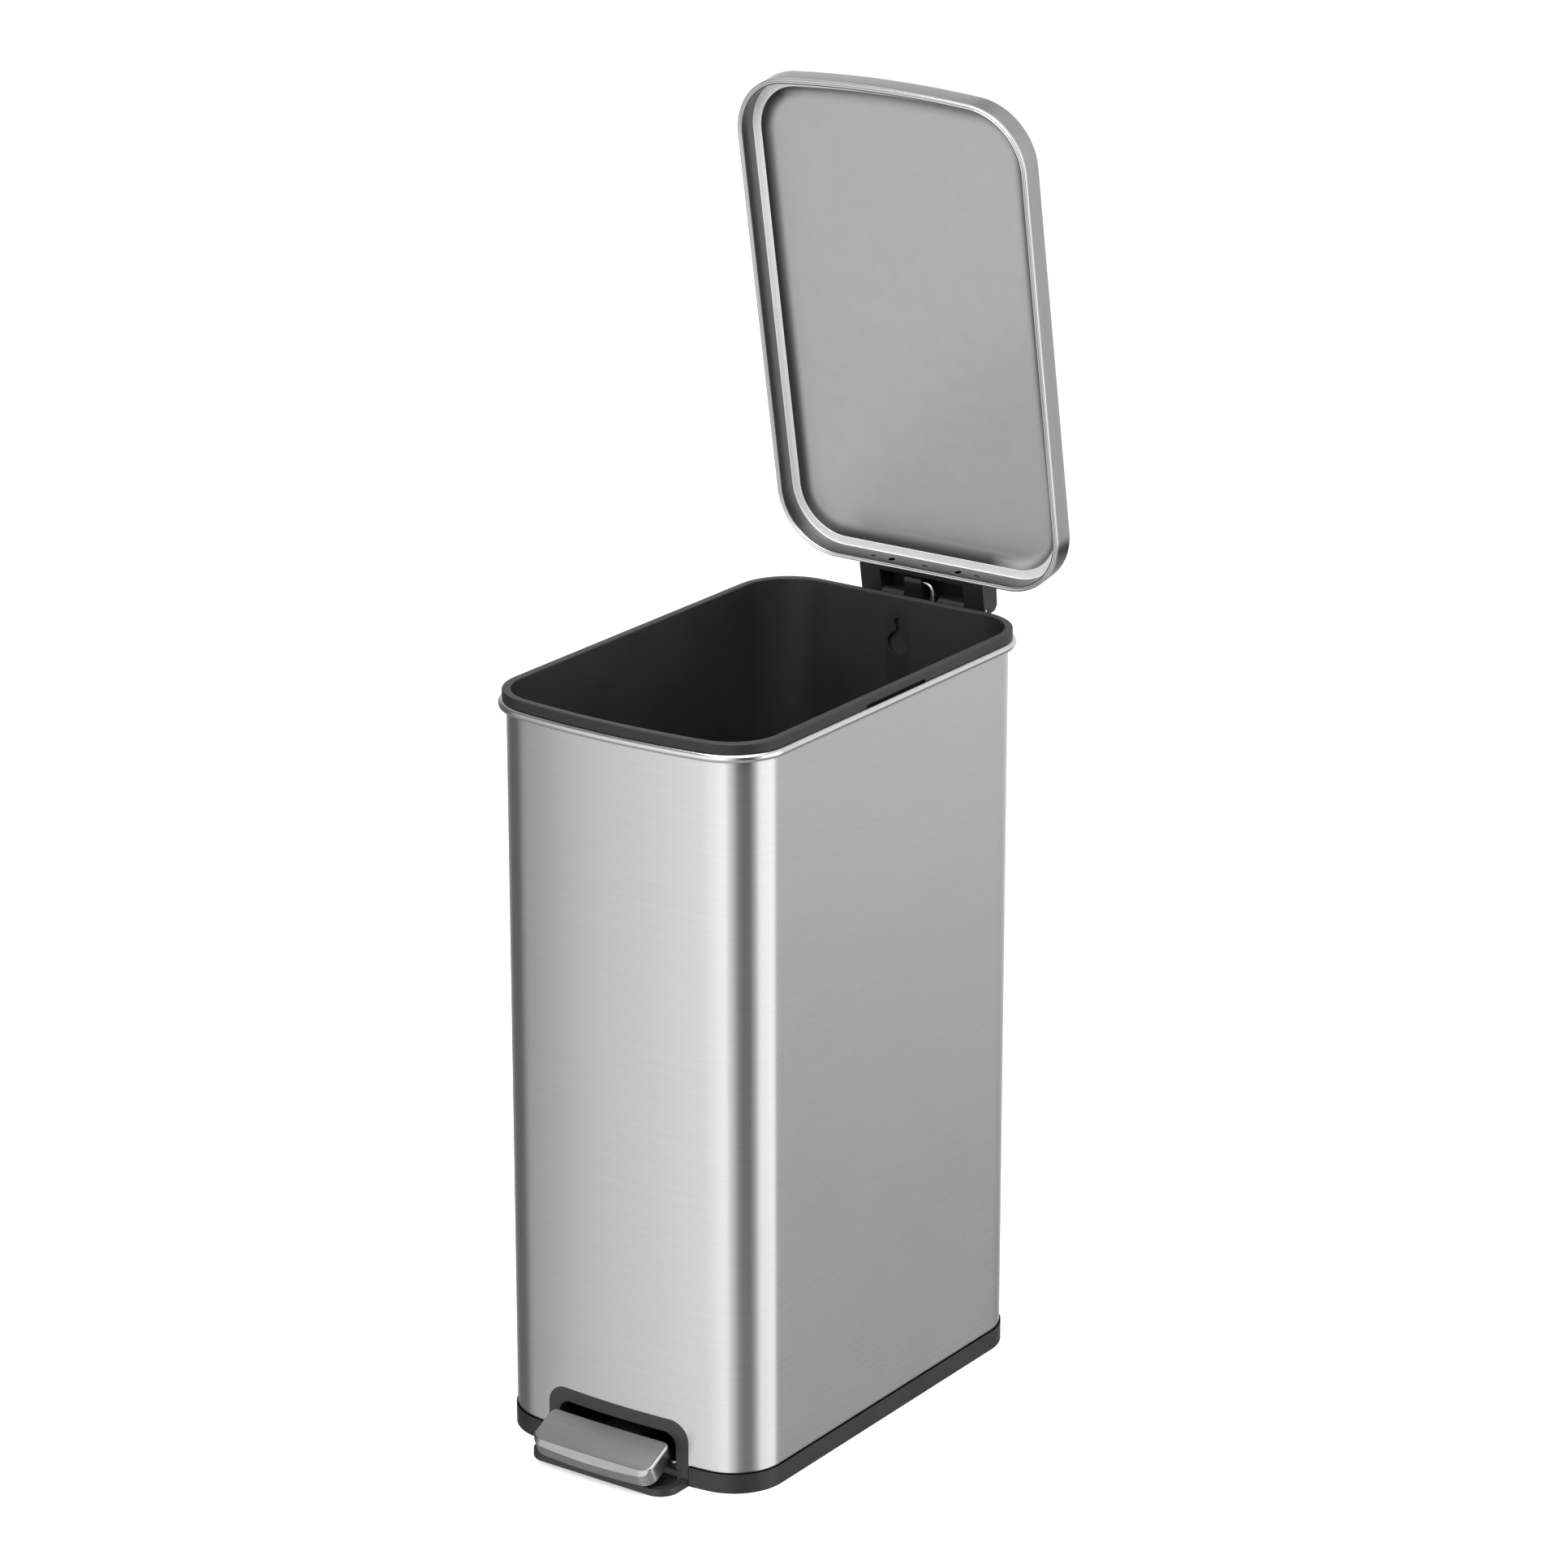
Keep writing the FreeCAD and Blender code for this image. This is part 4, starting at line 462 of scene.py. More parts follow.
def drawn_pan(name, rough=0.33):
    """The lid's pan: a drawn wall in painted shade, a ledge with a painted highlight and a satin panel with
    painted shade in its bend.
    """
    nodes = Nodes(name, LID_OPEN)
    x, y, z = nodes.split_place()
    low, high = PAN_PAINTED_LIGHT[0][0], PAN_PAINTED_LIGHT[-1][0]
    # the colour by height carries painted shade on the wall and in the bend and a painted highlight on the
    # ledge
    rise = nodes.spread(z, 0, 1, low, high)
    ramp = nodes.tree.nodes.new("ShaderNodeValToRGB")
    fill_ramp(ramp, [((height - low) / (high - low), level) for height, level in PAN_PAINTED_LIGHT])
    nodes.link(rise, ramp.inputs["Fac"])
    # masks where the painted shade in the bend is left off, at the front left corner and the right
    front = nodes.sum(
        nodes.spread(x, 0, 1, *UNSHADED_LEFT), nodes.spread(y, 1, 0, *UNSHADED_FRONT), "MULTIPLY"
    )
    unshaded = nodes.sum(front, nodes.spread(x, 0, 1, *UNSHADED_RIGHT), "MAXIMUM")
    above = nodes.spread(z, 0, 1, LEDGE_Z, LEDGE_Z + 0.0003)
    # the ledge goes mostly non-metallic, so its painted highlight shows as flat bright colour
    ledge_highlight = nodes.sum(
        nodes.spread(z, 0, LEDGE_HIGHLIGHT_MATT, LEDGE_HIGHLIGHT_LOW[0][0], LEDGE_HIGHLIGHT_LOW[1][0]),
        nodes.spread(z, 1, 0, LEDGE_HIGHLIGHT_HIGH[0][0], LEDGE_HIGHLIGHT_HIGH[1][0]),
        "MULTIPLY",
    )
    nodes.link(nodes.spread(ledge_highlight, 1, 0, 0, 1), nodes.shader.inputs["Metallic"])
    # the painted tone, carried to the panel's plain level where the painted shade is left off
    even = nodes.carry_over(
        nodes.sum(unshaded, above, "MULTIPLY"), ramp.outputs["Color"], PAN_PAINTED_LIGHT[-1][1]
    )
    fine = nodes.noise(nodes.stretched((60, 60, 1500)), detail=3.0)
    cloud = nodes.noise(nodes.stretched((6, 6, 6)), detail=3.0)
    shade = nodes.tree.nodes.new("ShaderNodeMix")
    shade.data_type = "RGBA"
    shade.blend_type = "MULTIPLY"
    shade.inputs["Factor"].default_value = 1.0
    tone = nodes.sum(nodes.spread(fine, -0.15, 0.15), nodes.spread(cloud, 0.4, 0.6))
    nodes.link(even, shade.inputs["A"])
    nodes.link(nodes.tint(tone, grey(0.93), grey(1.07)), shade.inputs["B"])
    nodes.link(shade.outputs["Result"], nodes.shader.inputs["Base Color"])
    wear = nodes.sum(nodes.spread(fine, -0.02, 0.02), nodes.spread(cloud, rough - 0.03, rough + 0.03))
    nodes.link(wear, nodes.shader.inputs["Roughness"])
    nodes.link(nodes.bump(fine, 0.00002, 0.05), nodes.shader.inputs["Normal"])
    return nodes.material


def bright_steel(name, level=0.66, rough=0.14):
    """Polished steel of beads, hems and wire, with faint scratches."""
    nodes = Nodes(name)
    scratch = nodes.noise(nodes.stretched((260, 260, 1400)), detail=4.0, roughness=0.75)
    cloud = nodes.noise(nodes.stretched((18, 18, 18)), detail=2.0)
    tone = nodes.sum(nodes.spread(scratch, -0.06, 0.06), nodes.spread(cloud, 0.45, 0.55))
    nodes.link(nodes.tint(tone, grey(level * 0.9), grey(level * 1.08)), nodes.shader.inputs["Base Color"])
    wear = nodes.sum(nodes.spread(scratch, 0, 0.06), nodes.spread(cloud, rough - 0.03, rough + 0.03))
    nodes.link(wear, nodes.shader.inputs["Roughness"])
    nodes.link(nodes.bump(scratch, 0.00001, 0.3), nodes.shader.inputs["Normal"])
    nodes.set(metallic=1.0)
    return nodes.material


def moulded_plastic(name, level=0.030, rough=0.42, texture=0.00004, shine=0.5, painted_shade_above=None):
    """Black moulded plastic: a fine spark-eroded texture, slow changes in sheen and a little dust.

    painted_shade_above is the height above which it goes dark: painted shade, where it disappears under the
    next piece.
    """
    nodes = Nodes(name)
    pebble = nodes.noise(nodes.stretched((1500, 1500, 1500)), detail=4.0, roughness=0.6)
    cloud = nodes.noise(nodes.stretched((14, 14, 14)), detail=4.0)
    dust = nodes.noise(nodes.stretched((95, 95, 95)), detail=6.0, roughness=0.7)
    tone = nodes.sum(nodes.spread(cloud, 0.25, 0.55), nodes.spread(dust, 0.0, 0.35, 0.52, 0.85))
    colour = nodes.tint(tone, grey(level * 0.8), grey(level * 1.35))
    nodes.set(specular_ior_level=shine)
    if painted_shade_above is not None:
        # painted shade: above this height the colour and the shine fall to nearly nothing, as in the gap
        # under the next piece
        _, _, height = nodes.split_place()
        below = nodes.spread(height, 1, 0, painted_shade_above, painted_shade_above + 0.0003)
        colour = nodes.tint(nodes.sum(tone, below, "MULTIPLY"), grey(0.002), grey(level * 1.35))
        nodes.link(nodes.spread(below, 0, shine, 0, 1), nodes.shader.inputs["Specular IOR Level"])
    nodes.link(colour, nodes.shader.inputs["Base Color"])
    wear = nodes.sum(nodes.spread(cloud, rough - 0.05, rough + 0.06), nodes.spread(dust, -0.02, 0.03))
    nodes.link(wear, nodes.shader.inputs["Roughness"])
    nodes.link(nodes.bump(pebble, texture, 0.5), nodes.shader.inputs["Normal"])
    return nodes.material


def nylon(name):
    nodes = Nodes(name)
    cloud = nodes.noise(nodes.stretched((60, 60, 60)), detail=3.0)
    fine = nodes.noise(nodes.stretched((1200, 1200, 1200)), detail=2.0)
    nodes.link(nodes.tint(cloud, grey(0.55), (0.68, 0.67, 0.62)), nodes.shader.inputs["Base Color"])
    nodes.link(nodes.spread(cloud, 0.38, 0.5), nodes.shader.inputs["Roughness"])
    nodes.link(nodes.bump(fine, 0.00003, 0.4), nodes.shader.inputs["Normal"])
    nodes.set(subsurface_weight=0.1)
    return nodes.material


MATERIALS = {
    "sleeve_steel": brushed_steel(
        "sleeve_brushed", grain=(38, 16, 1500), rough=0.27, stretch=0.8, streak=0.026
    ),
    "lid_steel": brushed_steel(
        "lid_brushed",
        grain=(38, 38, 1500),
        level=0.35,
        rough=0.22,
        stretch=0.3,
        streak=0.06,
        turn="Y",
        placed=LID_OPEN,
        polished_below=LID_HEM + 2 * HEM_ROLL,
    ),
    "pan_steel": drawn_pan("pan_drawn_painted_light"),
    "mill_steel": satin_steel("sleeve_inside_mill", level=0.10, rough=0.6),
    "bead_steel": bright_steel("bead_bright"),
    "pedal_steel": brushed_steel(
        "pedal_brushed",
        grain=(60, 1500, 1500),
        level=0.44,
        rough=0.24,
        stretch=0,
        streak=0.05,
        placed=PEDAL_OPEN,
    ),
    "bucket_plastic": moulded_plastic("bucket_black", level=0.012, rough=0.5),
    # near-black, nearly shineless plastic: painted shade inside the finger notches' recess
    "notch_painted_shade": moulded_plastic("notch_painted_shade_black", level=0.002, rough=0.7, shine=0.08),
    # the base goes dark in painted shade just under the sleeve's lower edge
    "base_plastic": moulded_plastic("base_black", level=0.028, painted_shade_above=SHELL_LOW.z - 0.0009),
    "frame_plastic": moulded_plastic("frame_black", level=0.030),
    "hinge_plastic": moulded_plastic("hinge_black", level=0.012),
    "cover_plastic": moulded_plastic("cover_black", level=0.030),
    "core_plastic": moulded_plastic("core_black", level=0.030),
    "nylon": nylon("nylon_white"),
    "rubber": moulded_plastic("rubber_black", level=0.02, rough=0.75, texture=0.0001, shine=0.25),
    "rod_steel": bright_steel("rod_zinc", level=0.5, rough=0.25),
    "lever_steel": satin_steel("lever_zinc", level=0.5, rough=0.4),
    "pin_steel": bright_steel("pin_zinc", level=0.6, rough=0.22),
    "screw_steel": bright_steel("screw_zinc", level=0.55, rough=0.25),
}


def piece(made, body, slot, *nodes):
    """Gives a new piece its finish and its body, and lets it stand for its CAD nodes."""
    made.data.materials.clear()
    made.data.materials.append(MATERIALS[slot])
    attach(made, body)
    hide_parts(*nodes)


# ---------------------------------------------------------------- sleeve, bead and bucket


def make_sleeve():
    """The steel sleeve, open at both ends, cut away for the pedal and for the lever's tail."""
    bm = bmesh.new()
    section = [
        (0, SHELL_LOW.z),
        (0, SHELL_HIGH.z),
        (-SHELL_WALL, SHELL_HIGH.z),
        (-SHELL_WALL, SHELL_LOW.z),
    ]
    sweep(bm, can_outline(), section)
    sleeve = finished("sleeve", bm)
    gate = round_topped(FRAME_HALF, SHELL_LOW.z - 0.001, FRAME_TOP, FRAME_CORNER)
    carve(sleeve, prism_object("gate", gate, "y", -CAN_HALF_DEPTH - 0.02, -CAN_HALF_DEPTH / 2))
    left, right, low, high = TAIL_CUT
    tail = [(left, low), (right, low), (right, high), (left, high)]
    carve(sleeve, prism_object("tail", tail, "y", CAN_HALF_DEPTH - 0.01, CAN_HALF_DEPTH + 0.01))
    piece(sleeve, "can", "sleeve_steel", "body_shell")
    sleeve.data.materials.append(MATERIALS["mill_steel"])
    for face in sleeve.data.polygons:
        if face.normal.x * face.center.x + face.normal.y * face.center.y < 0:
            face.material_index = 1


def make_bead():
    """Half-round bead round the sleeve, with the fine groove under it where it is welded on."""
    half = (BEAD_HIGH.z - BEAD_LOW.z) / 2
    middle = (BEAD_HIGH.z + BEAD_LOW.z) / 2
    groove = 0.0001
    section = [(groove, BEAD_LOW.z), (BEAD_PROUD - half, BEAD_LOW.z)]
    section += list(bend(BEAD_PROUD - half, middle, half, -90, 90, 14))[1:]
    section += [(groove, BEAD_HIGH.z)]
    bm = bmesh.new()
    sweep(bm, can_outline(), section)
    piece(finished("bead", bm), "can", "bead_steel", "rim_bead")


def notch_lift(station):
    """Height of the skirt's lower edge: raised along the finger notch on each side."""
    _, y, out_x, _ = station
    if abs(out_x) < 0.999:
        return SKIRT_BOTTOM
    inside = min(y - NOTCH_FRONT, NOTCH_REAR - y)
    rise = min(max(inside / NOTCH_SLOPE, 0.0), 1.0)
    return SKIRT_BOTTOM + (NOTCH_TOP - SKIRT_BOTTOM) * rise


def make_bucket():
    """The tapered bucket with its folded rim, finger notches and the keyhole for the bag's end."""
    soft = 0.0011
    round_foot, floor_ring = 0.009, 0.004
    inner, skirt = -RIM_INSIDE, RIM_OUTSIDE - SKIRT_WALL
    deep, under_rim = BUCKET_LOW.z + BUCKET_FLOOR, RIM_TOP - 0.0026
    inner_foot = inner - BUCKET_DRAFT
    outer_foot = inner_foot + BUCKET_WALL
    section = [(inner_foot - round_foot - floor_ring, deep)]
    section += bend(inner_foot - round_foot, deep + round_foot, round_foot, -90, -4, 8)
    section += [(inner, RIM_TOP - soft)]
    section += list(bend(inner + soft, RIM_TOP - soft, soft, 180, 90, 5))[1:]
    section += bend(RIM_OUTSIDE - soft, RIM_TOP - soft, soft, 90, 0, 5)
    section += [(RIM_OUTSIDE, notch_lift), (skirt, notch_lift), (skirt, SKIRT_BOTTOM)]
    section += [(SEAT_GAP, SKIRT_BOTTOM), (SEAT_GAP, under_rim), (inner + BUCKET_WALL, under_rim)]
    section += bend(outer_foot - round_foot, BUCKET_LOW.z + round_foot, round_foot, -4, -90, 8)
    section += [(outer_foot - round_foot - floor_ring, BUCKET_LOW.z)]
    stops = (NOTCH_FRONT, NOTCH_FRONT + NOTCH_SLOPE, NOTCH_REAR - NOTCH_SLOPE, NOTCH_REAR)
    bm = bmesh.new()
    sweep(bm, can_outline(stops), section, close_section=False)
    bucket = finished("bucket", bm)
    carve(bucket, keyhole_tool())
    piece(bucket, "can", "bucket_plastic", "liner_bucket")
    # the recess wall behind each finger notch gets the near-black plastic: painted shade
    bucket.data.materials.append(MATERIALS["notch_painted_shade"])
    recess, close = CAN_HALF_WIDTH + skirt, 0.0002
    for face in bucket.data.polygons:
        if SKIRT_BOTTOM < face.center.z < NOTCH_TOP and abs(abs(face.center.x) - recess) < close:
            face.material_index = 1


def keyhole_tool():
    """A round hole for the bag's edge with a narrow neck up to a smaller one, as one cutter."""
    half = KEYHOLE_NECK / 2
    low = math.degrees(math.asin(half / KEYHOLE_BIG))
    high = math.degrees(math.asin(half / KEYHOLE_SMALL))
    corners = list(bend(0, KEYHOLE_BIG_Z, KEYHOLE_BIG, 90 + low, 450 - low, 40))
    corners += bend(0, KEYHOLE_SMALL_Z, KEYHOLE_SMALL, -90 + high, 270 - high, 20)
    return prism_object("keyhole", corners, "y", CAN_HALF_DEPTH - 0.02, CAN_HALF_DEPTH + 0.002)


# ---------------------------------------------------------------- lid


def make_lid_skin():
    """The lid's outer skin: crowned edge, upright wall and the hem rolled inwards at its foot."""
    outer = LID_TOP - LID_EDGE
    roll, fold = HEM_ROLL, HEM_FOLD
    top_ring, edge_ring = -LID_EDGE - 0.02, -LID_EDGE - 0.002
    section = [(top_ring, LID_TOP), (edge_ring, LID_TOP)]
    section += bend(-LID_EDGE, outer, LID_EDGE, 90, 0, 12)
    section += bend(-roll, LID_HEM + roll, roll, 0, -140, 14)
    section += bend(-2 * roll - fold + 0.0003, LID_HEM + 0.0002 + fold, fold, -40, -210, 14)
    section += [(-roll, LID_HEM + 2 * roll + 0.0006), (-LID_SKIN, LID_HEM + 2 * roll + 0.0016)]
    section += bend(-LID_EDGE, outer, LID_EDGE - LID_SKIN, 0, 90, 12)
    section += [(edge_ring, LID_TOP - LID_SKIN), (top_ring, LID_TOP - LID_SKIN)]
    bm = bmesh.new()
    sweep(bm, lid_outline(), section, close_section=False)
    skin = finished("lid_skin", bm)
    skin.data.transform(LID_OPEN)
    piece(skin, "lid", "lid_steel", "lid_shell")


def make_lid_pan():
    """The pan pressed into the lid: upright wall, flat ledge over the bucket's rim, raised panel."""
    low = LID_HEM + HEM_FOLD
    sheet, fold = PAN_SHEET, 0.0010
    wall, panel_ring = -PAN_INSET, -PANEL_INNER - 0.01
    under = [(wall - sheet, low)]
    under += bend(wall - sheet - fold, LEDGE_Z - fold, fold, 0, 90, 5)
    under += soft_rise(-LEDGE_INNER, LEDGE_Z, -PANEL_INNER, PANEL_Z)
    under += [(panel_ring, PANEL_Z)]
    over = [(wall, low)]
    over += bend(wall - fold - sheet, LEDGE_Z - fold, fold + sheet, 0, 90, 5)
    over += soft_rise(-LEDGE_INNER, LEDGE_Z + sheet, -PANEL_INNER, PANEL_Z + sheet)
    over += [(panel_ring, PANEL_Z + sheet)]
    bm = bmesh.new()
    sweep(bm, lid_outline(), under[::-1] + over, close_section=False)
    pan = finished("lid_pan", bm, smooth_below=25)
    carve(pan, pan_hole_tools())
    pan.data.transform(LID_OPEN)
    piece(pan, "lid", "pan_steel", "lid_inner_pan")


def soft_rise(start, low, end, high):
    """Section points that leave (start, low) steeply and flow out flat at (end, high)."""
    steps = 18
    for step in range(steps + 1):
        share = step / steps
        yield start + (end - start) * share, high - (high - low) * (1 - share) ** 3


def pan_hole_tools():
    """Two screw holes and three drain slots through the pan's rear wall, as one cutter."""
    start, end = LID_HALF_DEPTH - PAN_INSET - 0.002, LID_HALF_DEPTH - PAN_INSET + 0.002
    bm = bmesh.new()
    for side in (-1, 1):
        prism(bm, list(bend(side * HOLE_X, HOLE_Z, HOLE_RADIUS, 0, 345, 23)), "y", start, end)
    for x in (-SLOT_X, 0, SLOT_X):
        corners = list(bend(x + SLOT_HALF - SLOT_HALF_HIGH, HOLE_Z, SLOT_HALF_HIGH, -90, 90, 6))
        corners += bend(x - SLOT_HALF + SLOT_HALF_HIGH, HOLE_Z, SLOT_HALF_HIGH, 90, 270, 6)
        prism(bm, corners, "y", start, end)
    return finished("pan_holes", bm)


# ---------------------------------------------------------------- pedal


def pedal_stations():
    """Stations round the pedal seen square to its tread; both long edges bow forwards."""
    half, front_corner, rear_corner = PEDAL_HALF, PEDAL_FRONT_CORNER, PEDAL_REAR_CORNER
    y_front_centre, y_rear_centre = -PEDAL_CHAMFER + PEDAL_BOW, PEDAL_REAR + TREAD_BOW
    x_front, x_rear = half - front_corner, half - rear_corner
    y_front = y_front_centre - math.sqrt((PEDAL_BOW - front_corner) ** 2 - x_front**2)
    y_rear = y_rear_centre - math.sqrt((TREAD_BOW + rear_corner) ** 2 - x_rear**2)
    lean_front = math.atan2(x_front, y_front_centre - y_front)
    lean_rear = math.atan2(x_rear, y_rear_centre - y_rear)
    quarter = math.pi / 2

    stations = list(round_part((0, y_front_centre), PEDAL_BOW, -lean_front, lean_front, 28))
    stations += round_part((x_front, y_front), front_corner, lean_front, quarter, 14)
    stations += [(half, y_front + (y_rear - y_front) * step / 4, 1, 0) for step in range(4)]
    stations += round_part((x_rear, y_rear), rear_corner, quarter, 2 * quarter + lean_rear, 14)
    hollow = round_part((0, y_rear_centre), TREAD_BOW, lean_rear, -lean_rear, 28)
    stations += [(x, y, -out_x, -out_y) for x, y, out_x, out_y in hollow]
    stations += round_part((-x_rear, y_rear), rear_corner, 2 * quarter - lean_rear, 3 * quarter, 14)
    stations += [(-half, y_rear + (y_front - y_rear) * step / 4, -1, 0) for step in range(4)]
    stations += round_part((-x_front, y_front), front_corner, 3 * quarter, 4 * quarter - lean_front, 14)
    return stations


def frontness(station):
    """1 where the pedal's outline faces forwards and 0 where it faces sideways or back."""
    share = min(max(-station[3], 0.0), 1.0)
    return share * share * (3 - 2 * share)


def chamfer_section(inset, low):
    """Section of the pedal's rim, from its lower edge up over the chamfer to the tread's border."""
    ease = 0.0004
    slant = ease * math.sqrt(0.5)

    def chamfer(station):
        """Its width: the tread's front edge is straighter than the wall below, so it narrows sideways."""
        straightened = station[0] ** 2 / 2 * (1 / PEDAL_BOW - 1 / TREAD_BOW)
        return PEDAL_TRIM + (PEDAL_CHAMFER - straightened - PEDAL_TRIM) * frontness(station)

    def rounded(share, upper):
        """One point on the way round the chamfer's lower or upper edge, as (offset, height)."""
        start, end = (1 - share) ** 2, share**2
        if upper:
            return (
                lambda station: -inset - chamfer(station) + start * slant - end * ease,
                lambda station: -inset - start * slant,
            )
        return (
            lambda station: -inset - end * slant,
            lambda station: -inset - chamfer(station) - start * ease + end * slant,
        )

    section = [(-inset, low)]
    section += [rounded(share / 4, upper=False) for share in range(5)]
    section += [rounded(share / 4, upper=True) for share in range(5)]
    return section


def make_pedal_cap():
    """Steel cap folded over the core, chamfered along its front edge."""
    outside = chamfer_section(0, -PEDAL_DEEP)
    inside = chamfer_section(CAP_SHEET, -PEDAL_DEEP)
    bm = bmesh.new()
    sweep(bm, pedal_stations(), outside[::-1] + inside, close_section=False)
    cap = finished("pedal_cap_steel", bm, smooth_below=30)
    cap.data.transform(PEDAL_OPEN)
    piece(cap, "pedal", "pedal_steel", "pedal_cap")


def make_pedal_core():
    """Plastic core under the cap, its lower edge showing as a dark band."""
    inset = CAP_SHEET + 0.0001
    low = -PEDAL_DEEP - CORE_BELOW
    soft = 0.0015
    foot, rebate = -inset - 0.0035, -inset - 0.005
    outside = [(-inset, low + soft)] + chamfer_section(inset, -PEDAL_DEEP)[1:]
    section = outside[::-1]
    section += list(bend(-inset - soft, low + soft, soft, 0, -90, 5))[1:]
    section += [(foot, low), (foot, low + 0.004), (rebate, low + 0.0045)]
    bm = bmesh.new()
    sweep(bm, pedal_stations(), section, close_section=False)
    core = finished("pedal_core_plastic", bm, smooth_below=50)
    core.data.transform(PEDAL_OPEN)
    piece(core, "pedal", "core_plastic", "pedal_core")


# ---------------------------------------------------------------- carried-over nodes


NODE_SLOTS = {
    "base_plastic": ("base_tray",),
    "frame_plastic": ("pedal_surround",),
    "hinge_plastic": ("hinge_bracket", "hinge_housing"),
    "cover_plastic": ("rod_cover",),
    "nylon": ("rod_guide", "lever_bushes"),
    "rubber": ("foot_pads",),
    "rod_steel": ("lift_rod", "rod_clip"),
    "lever_steel": ("pedal_lever", "pedal_rivets"),
    "pin_steel": ("hinge_pins", "lever_axle", "axle_clips"),
    "screw_steel": ("surround_screws", "housing_screws", "cover_screws", "bracket_screws"),
}
ROUNDED_NODES = {
    "base_tray": 0.0008,
    "pedal_surround": 0.0009,
    "hinge_bracket": 0.0006,
    "hinge_housing": 0.0012,
    "rod_cover": 0.0008,
    "pedal_lever": 0.0004,
}


def dress_nodes():
    """Every CAD node that stays visible gets its finish, and moulded ones get soft edges."""
    for slot, names in NODE_SLOTS.items():
        for name in names:
            node = frame["nodes"][name]
            node.data.materials.clear()
            node.data.materials.append(MATERIALS[slot])
            weld = node.modifiers.new("weld", "WELD")
            weld.merge_threshold = 0.00001
            node.data.shade_smooth()
            node.data.set_sharp_from_angle(angle=math.radians(30))
            if name in ROUNDED_NODES:
                flat = node.modifiers.new("flat", "DECIMATE")
                flat.decimate_type = "DISSOLVE"
                flat.angle_limit = math.radians(1)
                soften(node, ROUNDED_NODES[name])
    frame["nodes"]["pedal_surround"].visible_glossy = False


# ---------------------------------------------------------------- studio

CARD_INSET, CARD_Z = -0.002, 0.6503
CAMERA_PLACE = Vector((2.48870, -3.51949, 2.02380))
CAMERA_TURN = math.radians(35.0)
CAMERA_DOWN = math.radians(19.0)
CAMERA_LENS = 126.47


def make_camera():
    data = bpy.data.cameras.new("camera")
    data.lens = CAMERA_LENS
    data.sensor_width = 36.0
    data.clip_end = 100.0
    camera = bpy.data.objects.new("camera", data)
    camera.location = CAMERA_PLACE
    camera.rotation_euler = (math.pi / 2 - CAMERA_DOWN, 0, CAMERA_TURN)
    bpy.context.scene.collection.objects.link(camera)
    bpy.context.scene.camera = camera


def make_floor():
    bm = bmesh.new()
    half = 30.0
    signs = ((-1, -1), (1, -1), (1, 1), (-1, 1))
    bm.faces.new([bm.verts.new((x * half, y * half, 0)) for x, y in signs])
    floor = finished("floor", bm)
    nodes = Nodes("floor_paper")
    cloud = nodes.noise(nodes.stretched((0.6, 0.6, 0.6)), detail=2.0)
    nodes.link(nodes.tint(cloud, grey(0.86), grey(0.88)), nodes.shader.inputs["Base Color"])
    nodes.set(roughness=0.9, emission_color=(1, 1, 1, 1), emission_strength=0.42)
    floor.data.materials.append(nodes.material)
    floor.visible_glossy = False
    floor.visible_diffuse = False


def make_card():
    """Studio card laid over the can's open mouth, seen only by the shiny pan of the lid above it."""
    bm = bmesh.new()
    corners = [
        bm.verts.new((x - out_x * CARD_INSET, y - out_y * CARD_INSET, CARD_Z))
        for x, y, out_x, out_y in can_outline()
    ]
    bm.faces.new(corners)
    card = finished("card", bm)
    nodes = Nodes("card_paper")
    tree = nodes.tree
    glow = tree.nodes.new("ShaderNodeEmission")
    cloud = nodes.noise(nodes.stretched((3, 3, 3)), detail=2.0)
    nodes.link(nodes.tint(cloud, grey(0.60), grey(0.64)), glow.inputs["Color"])
    clear = tree.nodes.new("ShaderNodeBsdfTransparent")
    sides = tree.nodes.new("ShaderNodeMixShader")
    nodes.link(tree.nodes.new("ShaderNodeNewGeometry").outputs["Backfacing"], sides.inputs["Fac"])
    nodes.link(glow.outputs["Emission"], sides.inputs[1])
    nodes.link(clear.outputs["BSDF"], sides.inputs[2])
    nodes.link(sides.outputs["Shader"], tree.nodes["Material Output"].inputs["Surface"])
    card.data.materials.append(nodes.material)
    for ray in ("camera", "diffuse", "shadow", "transmission", "volume_scatter"):
        setattr(card, f"visible_{ray}", False)


def direction(azimuth, elevation):
    """Unit vector: azimuth 0 is -Y and 90 is +X, elevation is above the horizon, in degrees."""
    turn, lift = math.radians(azimuth), math.radians(elevation)
    return Vector((math.sin(turn) * math.cos(lift), -math.cos(turn) * math.cos(lift), math.sin(lift)))


def make_lamp():
    """One soft square lamp high up beside the camera, aimed at the middle of the can."""
    data = bpy.data.lights.new("overhead", "AREA")
    data.shape = "RECTANGLE"
    data.size = 2.0
    data.size_y = 2.0
    data.energy = 55
    light = bpy.data.objects.new("overhead", data)
    away = direction(azimuth=35, elevation=75)
    light.location = Vector((0, 0, 0.35)) + away * 2.2
    light.rotation_mode = "QUATERNION"
    light.rotation_quaternion = away.to_track_quat("Z", "Y")
    light.visible_camera = False
    bpy.context.scene.collection.objects.link(light)


